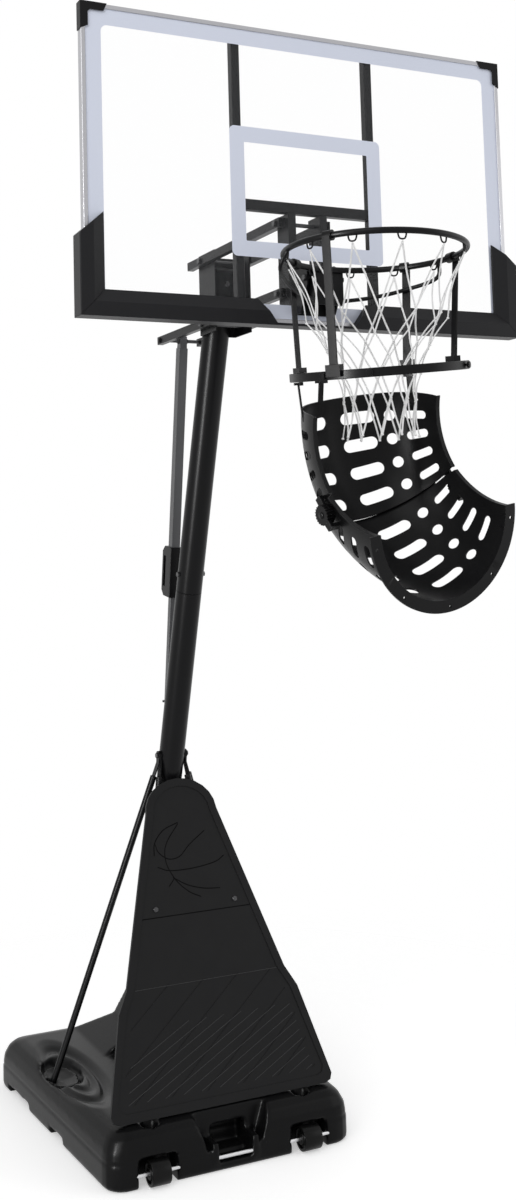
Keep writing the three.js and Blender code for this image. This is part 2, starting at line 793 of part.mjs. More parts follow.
function coverScrew(name, side) {
  const x = side * coverScrewAcross;
  const z = coverLength * coverScrewShare;
  const face = coverPanelDepth - seatGap;
  const body = join(
    rod(screwHeadRadius, vec(x, face - screwHeadThickness, z), vec(x, face, z), 16),
    rod(screwShankRadius, vec(x, face - screwHeadThickness / 2, z), vec(x, coverThickness * 2, z), 12),
  );
  return piece(name, body, blackSteel());
}

function cover() {
  const group = new THREE.Group();
  group.position.set(0, coverFootY, baseHeight + seatGap + coverThickness * Math.sin(coverLean * degree));
  group.rotation.x = -coverLean * degree;
  group.add(piece('front_cover', coverBody(), coverPlastic()));
  group.add(coverScrew('cover_screw_left', -1));
  group.add(coverScrew('cover_screw_right', 1));
  return group;
}

// A tube flattened to an upright eye on the cross bolt, its foot cut level.
function strut(name, side, eyeX, footX, footY, footHeight) {
  const top = vec(side * eyeX, poleAxisY(strutBoltHeight), strutBoltHeight);
  const foot = vec(side * footX, footY, footHeight);
  const upright = foot.clone().setX(top.x).sub(top).normalize();
  const bend = top.clone().addScaledVector(upright, strutEyeLength);
  const direction = foot.clone().sub(bend).normalize();
  const flatEnd = bend.clone().addScaledVector(direction, strutFlatLength);
  const past = foot.clone().addScaledVector(direction, strutRadius * 2);
  let body = join(
    crossRod(strutEyeRadius, side * (eyeX - strutEyeThickness / 2), side * (eyeX + strutEyeThickness / 2),
      top.y, top.z, 12),
    bar(strutEyeThickness, strutRadius * 2, top, bend.clone().addScaledVector(upright, strutEyeThickness / 2)),
    bar(strutEyeThickness, strutRadius * 2, bend, flatEnd.clone().addScaledVector(direction, strutRadius)),
    rod(strutRadius, flatEnd, past, 10),
  );
  body = cut(body,
    boxFrom(foot.x - strutFlatLength, foot.x + strutFlatLength, foot.y - strutFlatLength,
      foot.y + strutFlatLength, footHeight - strutFlatLength, footHeight + seatGap),
    crossRod(strutBoltRadius + seatGap, side * (eyeX - cutOverrun / 2), side * (eyeX + cutOverrun / 2),
      top.y, top.z));
  return piece(name, body, blackSteel());
}

const braceEyeX = poleRadius + seatGap * 2 + strutEyeThickness / 2;
const strutEyeX = braceEyeX + strutEyeThickness + seatGap * 2;

function strutBolt() {
  return piece('strut_bolt', crossBolt(strutBoltRadius, boltHeadRadius, boltHeadThickness,
    strutEyeX + strutEyeThickness / 2 + seatGap, poleAxisY(strutBoltHeight), strutBoltHeight), blackSteel());
}

// Arms in a frame whose origin is the pivot on the pole: -y runs to the board.
function arm(name, side, tail, holes) {
  const inner = armInnerHalfGap;
  const outer = inner + armWidth;
  const half = armDepth / 2;
  let body = boxFrom(side * inner, side * outer, -armLength - armNose, tail, -half, half);
  body = cut(body, boxFrom(side * (inner + armWall), side * (outer - armWall),
    -armLength - armNose - cutOverrun, tail - armWall, -half + armWall, half - armWall));
  for (const y of holes) {
    body = cut(body, crossRod(pivotRadius + runningGap, side * (inner - cutOverrun),
      side * (outer + cutOverrun), y, 0));
  }
  if (tail > tailPivotReach) {
    body = join(body, crossRod(boltHeadRadius, side * (outer - armWall / 2), side * (outer + boltHeadThickness),
      tailPivotReach, 0, 6));
  }
  return piece(name, body, blackSteel());
}

function lowerArms() {
  const group = new THREE.Group();
  group.position.set(0, headPivotY, lowerPivotHeight);
  for (const [word, side] of [['left', -1], ['right', 1]]) {
    group.add(arm(`lower_arm_${word}`, side, lowerArmTail, [-armLength, 0]));
  }
  return group;
}

function upperArms() {
  const group = new THREE.Group();
  group.position.set(0, headPivotY, upperPivotHeight);
  for (const [word, side] of [['left', -1], ['right', 1]]) {
    group.add(arm(`upper_arm_${word}`, side, upperArmTail, [-armLength, 0]));
  }
  return group;
}

// Adjuster, in a frame at the arms' tail pivot with z up along the tube.
const tailY = headPivotY + tailPivotReach;
const adjusterSpan = vec(0, tailY - lugY, lowerPivotHeight - adjusterFootHeight);
const adjusterTilt = Math.atan2(-adjusterSpan.y, adjusterSpan.z);

function adjusterTube() {
  const half = adjusterTubeSize / 2;
  const inner = half - adjusterTubeWall;
  const top = -adjusterTopGap;
  const body = cut(boxFrom(-half, half, -half, half, -adjusterTubeLength, top),
    boxFrom(-inner, inner, -inner, inner, -adjusterTubeLength - cutOverrun, top - adjusterTubeWall));
  const ear = plateYZ([
    [-half, top - adjusterTubeWall], [half, top - adjusterTubeWall],
    [half * 0.7, adjusterTopGap * 0.7], [-half * 0.7, adjusterTopGap * 0.7],
  ], -half * 0.8, half * 0.8);
  return cut(join(body, ear), crossRod(pivotRadius + seatGap, -adjusterTubeSize, adjusterTubeSize, 0, 0));
}

// The pin at the tube's head ends just short of the two arms that carry it.
function adjusterPin() {
  const reach = armInnerHalfGap - runningGap;
  const collar = adjusterTubeSize * 0.4 + seatGap;
  return join(crossRod(pivotRadius, -reach, reach, 0, 0, 16),
    crossRod(boltHeadRadius, collar, collar + boltHeadThickness, 0, 0, 6),
    crossRod(boltHeadRadius, -collar - boltHeadThickness, -collar, 0, 0, 6));
}

const gripTop = -adjusterTubeLength + gripLength * 0.25;

function adjusterGrip() {
  const half = adjusterTubeSize / 2 + seatGap;
  const front = -gripWidth / 2;
  const rear = front + gripDepth;
  const low = gripTop - gripLength;
  const bevel = gripWindowDepth;
  let body = plateYZ([
    [front, low], [rear - bevel, low], [rear, low + bevel], [rear, gripTop - bevel],
    [rear - bevel, gripTop], [front, gripTop],
  ], -gripWidth / 2, gripWidth / 2);
  body = cut(body, boxFrom(-half, half, -half, half, -adjusterTubeLength - seatGap, gripTop + cutOverrun));
  const rodHalf = adjusterRodSize / 2 + runningGap;
  body = cut(body, boxFrom(-rodHalf, rodHalf, -rodHalf, rodHalf, low - cutOverrun, gripTop + cutOverrun));
  const windowFront = gripWindowFront();
  const middle = gripTop - gripLength / 2;
  return cut(body, boxFrom(-gripWidth, gripWidth, windowFront, windowFront + gripWindowDepth,
    middle - gripWindowLength / 2, middle + gripWindowLength / 2));
}

function gripWindowFront() {
  return adjusterTubeSize / 2 + gripWindowBehind;
}

// The trigger is a tongue in the grip's window, on the side next to the tube.
function adjusterTrigger() {
  const middle = gripTop - gripLength / 2;
  const front = gripWindowFront() + seatGap;
  return boxFrom(-triggerWidth / 2, triggerWidth / 2, front, front + triggerThickness,
    middle - triggerLength / 2, middle + triggerLength / 2);
}

function adjusterRod() {
  const half = adjusterRodSize / 2;
  const inner = half - adjusterRodWall;
  const fork = lugThickness / 2 + runningGap;
  const foot = -adjusterSpan.length();
  const top = foot + adjusterRodLength;
  let body = cut(boxFrom(-half, half, -half, half, foot - half, top),
    boxFrom(-inner, inner, -inner, inner, foot + adjusterRodSize * 2, top + cutOverrun));
  body = cut(body, boxFrom(-fork, fork, -adjusterRodSize, adjusterRodSize,
    foot - adjusterRodSize, foot + adjusterRodSize * 1.6));
  return join(body, crossRod(lugPinRadius, -adjusterRodSize, adjusterRodSize, 0, foot));
}

function adjuster() {
  const group = new THREE.Group();
  group.position.set(0, tailY, lowerPivotHeight);
  group.rotation.x = adjusterTilt;
  group.add(piece('adjuster_tube', adjusterTube(), greyTube()));
  group.add(piece('adjuster_pin', adjusterPin(), blackSteel()));
  group.add(piece('adjuster_grip', adjusterGrip(), blackPlastic()));
  group.add(piece('adjuster_trigger', adjusterTrigger(), blackPlastic()));
  group.add(piece('adjuster_rod', adjusterRod(), greyTube()));
  return group;
}

// Everything on the board is placed from its front plane and the rim's plane.
const boardHalf = boardWidth / 2;
const boardTop = boardTopAboveRim;
const boardBottom = -boardBottomBelowRim;

// Rail section in (u, v): u inward from the board's edge, v back from its front.
function railSection() {
  const slotLow = panelSetback - seatGap;
  const slotHigh = panelSetback + panelThickness + seatGap;
  return [[0, 0], [railFace, 0], [railFace, slotLow], [railFace - railBite, slotLow],
    [railFace - railBite, slotHigh], [railFace, slotHigh], [railFace, railDepth], [0, railDepth]];
}

// A straight rail of the section, mitred at both ends. Start and end are on the board's edge.
function rail(name, start, end, inward) {
  const direction = end.clone().sub(start).normalize();
  const section = railSection();
  const ring = (corner, sign) => section.map(([u, v]) => corner.clone()
    .addScaledVector(inward, u)
    .addScaledVector(direction, sign * (u + seatGap / 2))
    .add(vec(0, v, 0)));
  const low = ring(start, 1);
  const high = ring(end, -1);
  const flat = new THREE.Shape(section.map(([u, v]) => new THREE.Vector2(u, v)));
  const triangles = THREE.ShapeUtils.triangulateShape(flat.getPoints(), []);
  const count = section.length;
  const faces = [];
  const turn = inward.clone().cross(vec(0, 1, 0)).dot(direction) > 0;
  const push = (a, b, c) => (turn ? faces.push(a, b, c) : faces.push(a, c, b));
  for (const [a, b, c] of triangles) {
    push(a, c, b);
    push(a + count, b + count, c + count);
  }
  for (let i = 0; i < count; i += 1) {
    const j = (i + 1) % count;
    push(i, j, j + count);
    push(i, j + count, i + count);
  }
  return piece(name, fromFaces([...low, ...high], faces), aluminium());
}

function panel() {
  const edge = railFace - railBite + seatGap;
  return piece('backboard_panel', boxFrom(-boardHalf + edge, boardHalf - edge, panelSetback,
    panelSetback + panelThickness, boardBottom + edge, boardTop - edge), clearAcrylic());
}

// An L of plastic over each upper corner of the frame.
function cornerCap(name, side) {
  const outline = (x0, x1, z0, z1, y0, y1) => boxFrom(side * x0, side * x1, y0, y1, z0, z1);
  const over = cornerCapOver;
  const long = cornerCapLength;
  const wide = cornerCapWidth;
  let body = plateXZ([
    [side * (boardHalf + over), boardTop + over], [side * (boardHalf - long + over), boardTop + over],
    [side * (boardHalf - long + wide * 0.6), boardTop - wide], [side * (boardHalf - wide * 1.3), boardTop - wide],
    [side * (boardHalf - wide), boardTop - wide * 1.3], [side * (boardHalf - wide), boardTop - long + wide * 0.6],
    [side * (boardHalf + over), boardTop - long + over],
  ], -over, railDepth + over);
  body = cut(body, outline(boardHalf + seatGap, boardHalf - long * 2, boardTop - long * 2,
    boardTop + seatGap, -seatGap, railDepth + seatGap));
  return piece(name, body, blackPlastic());
}

// Pad section in (u, v): u inward from the pad's outer edge, v back from the board's front.
function padSection(over) {
  const rear = railDepth + padBack;
  const inside = over - seatGap;
  return [[0, -padFront + padEdgeEase], [padEdgeEase, -padFront], [padFace, -padFront], [padWidth, -padThin],
    [padWidth, -seatGap], [inside, -seatGap], [inside, rear], [0, rear]];
}

// A straight run of pad between two end planes, each given by how far it slants with u.
function padRun(name, corner, direction, inward, length, startSlant, endSlant, over) {
  const section = padSection(over);
  const ring = (distance, slant) => section.map(([u, v]) => corner.clone()
    .addScaledVector(direction, distance + slant * u)
    .addScaledVector(inward, u)
    .add(vec(0, v, 0)));
  const low = ring(seatGap / 2, startSlant);
  const high = ring(length - seatGap / 2, endSlant);
  const shape = section.map(([u, v]) => new THREE.Vector2(u, v));
  const triangles = THREE.ShapeUtils.triangulateShape(shape, []);
  const count = section.length;
  const faces = [];
  const turn = inward.clone().cross(vec(0, 1, 0)).dot(direction) > 0;
  const push = (a, b, c) => (turn ? faces.push(a, b, c) : faces.push(a, c, b));
  for (const [a, b, c] of triangles) {
    push(a, c, b);
    push(a + count, b + count, c + count);
  }
  for (let i = 0; i < count; i += 1) {
    const j = (i + 1) % count;
    push(i, j, j + count);
    push(i, j + count, i + count);
  }
  return { name, body: fromFaces([...low, ...high], faces) };
}

function pads() {
  const group = new THREE.Group();
  const outer = boardHalf + padOverSide;
  const floor = boardBottom - padOverBottom;
  for (const [word, side] of [['left', -1], ['right', 1]]) {
    const run = padRun(`board_pad_${word}`, vec(side * outer, 0, floor), vec(0, 0, 1), vec(-side, 0, 0),
      padUpperRise, 1, padSlant / padWidth, padOverSide);
    group.add(piece(run.name, run.body, padRubber()));
  }
  const bottom = padRun('board_pad_bottom', vec(-outer, 0, floor), vec(1, 0, 0), vec(0, 0, 1),
    outer * 2, 1, -1, padOverBottom);
  const notchFloor = floor + padThin + seatGap * 2;
  const notch = plateXZ([
    [-padCutBottomHalf, notchFloor], [padCutBottomHalf, notchFloor],
    [padCutTopHalf, floor + padWidth + cutOverrun], [-padCutTopHalf, floor + padWidth + cutOverrun],
  ], -padFront - cutOverrun, 0);
  group.add(piece(bottom.name, cut(bottom.body, notch), padRubber()));
  return group;
}

const panelBack = panelSetback + panelThickness + seatGap;

function rearTube(name, side) {
  const half = tubeSize / 2;
  const x = side * tubeAcross;
  return piece(name, boxFrom(x - half, x + half, panelBack, panelBack + tubeSize,
    boardBottom + railFace + seatGap, boardTop - tubeTopBelow), blackSteel());
}

function rearCrossbar() {
  const reach = tubeAcross - tubeSize / 2 - seatGap;
  const half = crossbarHeight / 2;
  return piece('rear_crossbar', boxFrom(-reach, reach, panelBack, panelBack + tubeSize,
    crossbarAboveRim - half, crossbarAboveRim + half), blackSteel());
}

const upperPivotLocal = upperPivotAboveRim;
const lowerPivotLocal = upperPivotAboveRim - armSpacing;

function centrePost(name, side) {
  const outer = armInnerHalfGap - runningGap;
  let body = boxFrom(side * (outer - postWidth), side * outer, panelBack, panelBack + postDepth,
    boardBottom + railFace + seatGap, crossbarAboveRim - crossbarHeight / 2 - seatGap);
  for (const z of [lowerPivotLocal, upperPivotLocal]) {
    body = cut(body, crossRod(pivotRadius + seatGap, side * (outer - postWidth - cutOverrun),
      side * (outer + cutOverrun), carriageSetback, z));
  }
  return piece(name, body, blackSteel());
}

function carriageBolt(name, z) {
  return piece(name, crossBolt(pivotRadius, boltHeadRadius, boltHeadThickness,
    armInnerHalfGap + armWidth + runningGap, carriageSetback, z), blackSteel());
}

// Bracket in front of the panel: a back plate with two ears that hold the hinge pin.
function rimBracket() {
  const half = bracketHalfWidth;
  const back = panelSetback - seatGap;
  const pinY = back - hingePinForward;
  let body = boxFrom(-half, half, back - bracketPlate, back, -bracketBottom, bracketTop);
  for (const side of [-1, 1]) {
    body = join(body, plateYZ([
      [back - bracketPlate / 2, -bracketBottom], [back - bracketPlate / 2, bracketTop],
      [back - bracketDepth * 0.5, bracketTop], [back - bracketDepth, bracketTop - bracketDepth * 0.34],
      [back - bracketDepth, -hingePinDrop * 2.1], [back - bracketDepth * 0.45, -bracketBottom],
    ], side * (half - bracketPlate), side * half));
  }
  return piece('rim_bracket', cut(body, crossRod(hingePinRadius + seatGap, -half - cutOverrun,
    half + cutOverrun, pinY, -hingePinDrop)), blackSteel());
}

function rimHingePin() {
  const pinY = panelSetback - seatGap - hingePinForward;
  return piece('rim_hinge_pin', crossBolt(hingePinRadius, boltHeadRadius, boltHeadThickness,
    bracketHalfWidth + seatGap, pinY, -hingePinDrop), blackSteel());
}

function backboard() {
  const group = new THREE.Group();
  group.position.set(0, boardFrontY, rimHeight);
  const topLeft = vec(-boardHalf, 0, boardTop);
  const topRight = vec(boardHalf, 0, boardTop);
  const lowLeft = vec(-boardHalf, 0, boardBottom);
  const lowRight = vec(boardHalf, 0, boardBottom);
  group.add(panel());
  group.add(rail('frame_rail_top', topLeft, topRight, vec(0, 0, -1)));
  group.add(rail('frame_rail_bottom', lowLeft, lowRight, vec(0, 0, 1)));
  group.add(rail('frame_rail_left', lowLeft, topLeft, vec(1, 0, 0)));
  group.add(rail('frame_rail_right', lowRight, topRight, vec(-1, 0, 0)));
  group.add(cornerCap('corner_cap_left', -1));
  group.add(cornerCap('corner_cap_right', 1));
  group.add(pads());
  for (const [word, side] of [['left', -1], ['right', 1]]) {
    group.add(rearTube(`rear_tube_${word}`, side));
    group.add(centrePost(`centre_post_${word}`, side));
  }
  group.add(rearCrossbar());
  group.add(carriageBolt('carriage_bolt_lower', lowerPivotLocal));
  group.add(carriageBolt('carriage_bolt_upper', upperPivotLocal));
  group.add(rimBracket());
  group.add(rimHingePin());
  return group;
}

// Rim: all in a frame at the rim's centre.
function hookAngle(k) {
  return ((k + 0.5) * 2 * Math.PI) / hookCount;
}

function onRing(radius, angle, z) {
  return vec(radius * Math.cos(angle), radius * Math.sin(angle), z);
}

// A bent wire: one ring of corners at each point, mitred where it turns.
function wire(points, radius, sides) {
  const last = points.length - 1;
  const rings = points.map((point, k) => {
    const before = point.clone().sub(points[Math.max(k - 1, 0)]).normalize();
    const after = points[Math.min(k + 1, last)].clone().sub(point).normalize();
    const direction = before.add(after).normalize();
    const out = vec(point.x, point.y, 0).normalize();
    const across = direction.clone().cross(out).normalize();
    const upright = across.clone().cross(direction);
    return Array.from({ length: sides }, (unused, i) => {
      const angle = (2 * Math.PI * (i + 0.5)) / sides;
      return point.clone().addScaledVector(upright, radius * Math.cos(angle))
        .addScaledVector(across, radius * Math.sin(angle));
    });
  });
  return loft(rings);
}

function hook(angle) {
  const radius = rimRadius - rimRod / 4;
  const side = hookHalfWidth / radius;
  const high = -rimRod / 3;
  const low = -hookDrop;
  return wire([
    onRing(radius, angle - side, high), onRing(radius, angle - side * 0.55, low),
    onRing(radius, angle + side * 0.55, low), onRing(radius, angle + side, high),
  ], hookWire, 4);
}

function rimRing() {
  const pinY = rimReach + panelSetback - seatGap - hingePinForward;
  const torus = new THREE.TorusGeometry(rimRadius, rimRod / 2, 8, 36);
  let body = solid(torus);
  for (let k = 0; k < hookCount; k += 1) body = body.add(hook(hookAngle(k)));
  const half = flangeHalfWidth;
  const backEdge = pinY + hingePinRadius * 1.6;
  const nose = rimRadius - rimRod / 2;
  const top = boxFrom(-half, half, nose, backEdge, -flangePlate * 1.4, flangePlate * 0.6);
  body = body.add(top);
  for (const side of [-1, 1]) {
    body = body.add(plateYZ([
      [nose + rimRod / 2, 0], [backEdge, 0], [backEdge, -hingePinDrop * 1.6],
      [nose + rimRod * 1.6, -flangeBottom], [nose + rimRod * 0.6, -flangeBottom],
    ], side * (half - flangePlate), side * half));
  }
  body = body.add(boxFrom(-half, half, nose + rimRod * 0.6, nose + rimRod * 0.6 + flangePlate,
    -flangeBottom, -flangePlate / 2));
  for (const side of [-1, 1]) {
    const foot = vec(side * (half - flangePlate * 1.5), nose + rimRod * 0.9, -flangeBottom + braceRodRadius * 2);
    const bends = braceShares.map(([angle, reach, drop]) => {
      const around = side > 0 ? angle : 180 - angle;
      return onRing(rimRadius * reach, around * degree, rimRod * drop);
    });
    body = body.add(wire([foot, ...bends], braceRodRadius, 6));
  }
  body = cut(body, crossRod(hingePinRadius + runningGap, -half - cutOverrun, half + cutOverrun, pinY, -hingePinDrop));
  return piece('rim_ring', body, blackSteel());
}

// Net: a lattice whose knots are small diamonds and whose cords join their edges.
function netKnotCentre(row, k) {
  const step = (2 * Math.PI) / hookCount;
  const top = -hookDrop - hookWire * Math.SQRT1_2 - netKnot - seatGap;
  const reach = rimRadius - rimRod / 4;
  const radius = reach * netRadiusShares[row];
  return onRing(radius, hookAngle(k) + (row % 2 === 1 ? step / 2 : 0),
    top - netRowShares[row] * (netLength + top));
}

// A knot's corners: right, up, left and down seen from outside, each outside and inside.
function netKnotCorners(row, k) {
  const centre = netKnotCentre(row, k);
  const out = vec(centre.x, centre.y, 0).normalize();
  const right = vec(-out.y, out.x, 0);
  const directions = [right, vec(0, 0, 1), right.clone().negate(), vec(0, 0, -1)];
  return directions.flatMap((direction) => [netCord, -netCord].map((depth) => (
    centre.clone().addScaledVector(direction, netKnot).addScaledVector(out, depth))));
}

function netBody() {
  const rows = netRadiusShares.length;
  const vertices = [];
  const faces = [];
  for (let row = 0; row < rows; row += 1) {
    for (let k = 0; k < hookCount; k += 1) vertices.push(...netKnotCorners(row, k));
  }
  const corner = (row, k, direction, inside) => (
    (row * hookCount + ((k + hookCount) % hookCount)) * 8 + direction * 2 + inside);
  const quad = (a, b, c, d) => faces.push(a, b, c, a, c, d);
  for (let row = 0; row < rows; row += 1) {
    for (let k = 0; k < hookCount; k += 1) {
      const own = (direction, inside) => corner(row, k, direction, inside);
      quad(own(0, 0), own(1, 0), own(2, 0), own(3, 0));
      quad(own(0, 1), own(3, 1), own(2, 1), own(1, 1));
      for (const [a, b] of [[0, 1], [1, 2], [2, 3], [3, 0]]) {
        const upward = a < 2;
        const open = upward ? row === 0 : row === rows - 1;
        if (open) quad(own(a, 0), own(a, 1), own(b, 1), own(b, 0));
        if (!open && !upward) {
          const rightward = a === 3;
          const shift = row % 2 === 1 ? Number(rightward) : Number(rightward) - 1;
          const far = (direction, inside) => corner(row + 1, k + shift, direction, inside);
          const [c, d] = rightward ? [1, 2] : [0, 1];
          netCordFaces(quad, own, far, a, b, c, d);
        }
      }
    }
  }
  return fromFaces(vertices, faces);
}

// A cord's four sides between a face of the upper knot and a face of the lower one.
function netCordFaces(quad, own, far, a, b, c, d) {
  quad(own(a, 0), far(d, 0), far(c, 0), own(b, 0));
  quad(own(b, 1), far(c, 1), far(d, 1), own(a, 1));
  quad(own(a, 1), far(d, 1), far(d, 0), own(a, 0));
  quad(own(b, 0), far(c, 0), far(c, 1), own(b, 1));
}

// Carrier ring: a flat band with a lip inside its lower edge, about the middle of its height.
function carrierProfile(grow) {
  const outer = carrierRadius + carrierWall / 2 + grow;
  const inner = carrierRadius - carrierWall / 2 - grow;
  const low = -carrierHeight / 2 - grow;
  const high = carrierHeight / 2 + grow;
  const lip = inner - carrierLip;
  const lipTop = carrierLipThickness - carrierHeight / 2 + grow;
  return [[lip, low], [outer, low], [outer, high], [inner, high], [inner, lipTop], [lip, lipTop]];
}

const carrierFrame = new THREE.Matrix4().makeRotationY(carrierRoll * degree)
  .multiply(new THREE.Matrix4().makeRotationX(carrierPitch * degree)).setPosition(0, 0, -carrierBelowRim);

// A level strap's clamp grips the rim's rod; its foot straddles the tilted carrier.
function hanger(name, angle) {
  const out = onRing(1, angle * degree, 0);
  const tangent = vec(-out.y, out.x, 0);
  const ringTop = out.clone().multiplyScalar(rimRadius);
  const strapTop = out.clone().multiplyScalar(rimRadius + rimRod / 2 + hangerThickness).setZ(-rimRod / 4);
  const outerFoot = carrierRadius + carrierWall / 2 + seatGap + hangerThickness / 2;
  const strapFoot = out.clone().multiplyScalar(outerFoot).setZ(carrierHeight / 2).applyMatrix4(carrierFrame);
  const clampStart = ringTop.clone().addScaledVector(tangent, -clampLength / 2);
  const clampEnd = ringTop.clone().addScaledVector(tangent, clampLength / 2);
  const frame = new THREE.Matrix4().makeBasis(out, tangent, vec(0, 0, 1));
  const footRadius = carrierRadius - carrierWall / 2 + footDepth / 2;
  const footBox = new THREE.BoxGeometry(footDepth, footLength, footHeight);
  footBox.applyMatrix4(frame).translate(
    out.x * footRadius, out.y * footRadius, carrierHeight / 2 + footHeight / 2 - carrierHeight * 0.7);
  const span = strapFoot.clone().sub(strapTop);
  const strapBox = new THREE.BoxGeometry(hangerThickness, hangerWidth, span.length());
  const z = span.clone().negate().normalize();
  const y = tangent.clone().addScaledVector(z, -tangent.dot(z)).normalize();
  const strapFrame = new THREE.Matrix4().makeBasis(y.clone().cross(z), y, z);
  strapFrame.setPosition(strapTop.clone().add(strapFoot).multiplyScalar(0.5));
  let body = join(solid(strapBox, strapFrame), rod(clampRadius, clampStart, clampEnd, 14),
    solid(footBox, carrierFrame));
  body = cut(body, solid(new THREE.TorusGeometry(rimRadius, rimRod / 2 + seatGap, 8, 36)),
    turned(carrierProfile(seatGap), carrierSegments, carrierFrame));
  return piece(name, body, blackPlastic());
}

// Chute: two half pipes whose axes bend steadily. The lower one is wider and holds the upper one's end.
const chuteFrame = new THREE.Matrix4().makeRotationY(chuteRoll * degree)
  .multiply(new THREE.Matrix4().makeRotationZ(chuteTurn * degree)).setPosition(0, 0, -carrierBelowRim);
const chuteFromCarrier = chuteFrame.clone().invert().multiply(carrierFrame);
const carrierFromChute = chuteFromCarrier.clone().invert();
const upperLine = { lean: upperLean * degree, curve: upperCurve, radius: upperRadius };
const lowerLine = { lean: lowerLean * degree, curve: lowerCurve, radius: upperRadius + chuteWall + nestGap };

// The axis of a half at a distance, its direction and the way to the front.
function chuteLine(line, distance) {
  const lean = line.lean + distance / line.curve;
  const centre = vec(0, chuteBendBack + (Math.cos(lean) - Math.cos(line.lean)) * line.curve,
    -chuteBendBelow - (Math.sin(lean) - Math.sin(line.lean)) * line.curve);
  const along = vec(0, -Math.sin(lean), -Math.cos(lean));
  return { centre, along, forward: vec(0, along.z, -along.y) };
}

// The same with the way out through the wall, at an angle from the middle of the floor.
function chutePlace(line, distance, angle) {
  const { centre, along, forward } = chuteLine(line, distance);
  const outward = vec(Math.sin(angle * degree), 0, 0).addScaledVector(forward, -Math.cos(angle * degree));
  return { centre, along, outward };
}

// One cross-section as [inner, outer] pairs, with the rims turned outwards.
function troughRow(line, distance, slant, wall, lipWidth) {
  const placeAt = (angle, depth) => {
    const { centre, outward } = chutePlace(line, distance + slant * Math.cos(angle * degree), angle);
    return centre.addScaledVector(outward, line.radius + depth);
  };
  const inset = lipWidth > 0 ? chuteWall / line.radius / degree : 0;
  const row = [];
  for (let k = 0; k <= chuteFacets; k += 1) {
    const angle = (chuteHalfAngle - inset) * ((2 * k) / chuteFacets - 1);
    row.push([placeAt(angle, 0), placeAt(angle, wall)]);
  }
  if (lipWidth > 0) {
    for (const side of [-1, 1]) {
      const rim = side * chuteHalfAngle;
      const root = side * (chuteHalfAngle - inset);
      const corner = [placeAt(rim, 0), placeAt(root, wall)];
      const edge = [placeAt(rim, wall + lipWidth), placeAt(root, wall + lipWidth)];
      if (side < 0) row.unshift(edge, corner);
      else row.push(corner, edge);
    }
  }
  return row;
}

// A half's wall between two distances. The first end's slant fades towards the other end.
function trough(line, start, end, { slant = 0, wall = chuteWall, lipWidth = 0, rows = chuteRows }) {
  return sheet(Array.from({ length: rows + 1 }, (unused, k) => {
    const share = k / rows;
    return troughRow(line, start + (end - start) * share, slant * (1 - share), wall, lipWidth);
  }));
}

// Rows of cuts: a long slot, a round hole and a side slot on each side of the floor.
function slotCuts(line, start, pitch) {
  const sizes = [[slotLongAngle, slotLongLength, slotLongWidth],
    [slotHoleAngle, slotHoleSize + seatGap, slotHoleSize],
    [slotSideAngle, slotSideLength, slotSideWidth]];
  const rows = Array.from({ length: slotRows }, (unused, k) => start + pitch * k);
  return rows.flatMap((distance) => [-1, 1].flatMap((side) => sizes.map(([angle, length, width]) => {
    const { centre, along, outward } = chutePlace(line, distance, side * angle);
    const across = outward.clone().cross(along).normalize();
    const frame = new THREE.Matrix4().makeBasis(across, outward.clone().cross(across), outward);
    frame.setPosition(centre.addScaledVector(outward, line.radius));
    return slotPrism(length, width, cutOverrun * 4, frame);
  })));
}

// The tilt hinge crosses the chute a little behind its axis and below the seam.
const hingeCentre = vec(0, hingeBack, -hingeBelow);
const seamPlace = chuteLine(upperLine, seamDistance);

// All above the seam's plane and in front of the nested wall, turned about the hinge by some degrees.
function seamBlock(turn) {
  const size = upperRadius * 6;
  const block = new THREE.BoxGeometry(size, size, size);
  block.translate(0, nestReach - size / 2, size / 2 - chuteSeam);
  const frame = new THREE.Matrix4().makeBasis(
    vec(1, 0, 0), seamPlace.forward.clone().negate(), seamPlace.along.clone().negate());
  frame.setPosition(seamPlace.centre);
  const around = new THREE.Matrix4().makeRotationX(turn * degree);
  const shift = hingeCentre.clone().negate().applyMatrix4(around).add(hingeCentre);
  return solid(block, around.setPosition(shift).multiply(frame));
}

// A toothed disc beside the wall, centred on the tilt hinge.
function knuckleDisc(side, x) {
  const teeth = Array.from({ length: knuckleTeeth * 2 }, (unused, k) => {
    const radius = knuckleRadius - (k % 2) * knuckleToothDepth;
    const angle = (k * Math.PI) / knuckleTeeth;
    return [hingeCentre.y + radius * Math.cos(angle), hingeCentre.z + radius * Math.sin(angle)];
  });
  return plateYZ(teeth, side * (x - knuckleThickness / 2), side * (x + knuckleThickness / 2));
}

const innerKnuckleX = lowerLine.radius + chuteWall + knuckleThickness / 2 + runningGap;
const outerKnuckleX = innerKnuckleX + knuckleThickness + runningGap;

// How far out the wall of a half is, level with a point beside it.
function wallXAt(line, point) {
  const seam = chuteLine(line, seamDistance);
  const level = chuteLine(line, seamDistance + seam.along.dot(point.clone().sub(seam.centre)));
  const rise = level.forward.dot(point.clone().sub(level.centre));
  return Math.sqrt(line.radius ** 2 - rise ** 2) + chuteWall / 4;
}

// An arm that ties a knuckle disc at x to the wall of its half, past the other disc.
function knuckleArm(side, x, line, way, reach) {
  const hub = hingeCentre.clone().setX(side * x);
  const { along } = chuteLine(line, seamDistance);
  const elbow = hub.clone().addScaledVector(along, way * reach);
  const width = knuckleThickness * 0.9;
  const past = elbow.clone().addScaledVector(along, (way * width) / 2);
  return join(
    bar(width, knuckleRadius * 0.8, hub, past),
    bar(width, width, elbow, elbow.clone().setX(side * wallXAt(line, elbow))),
  );
}

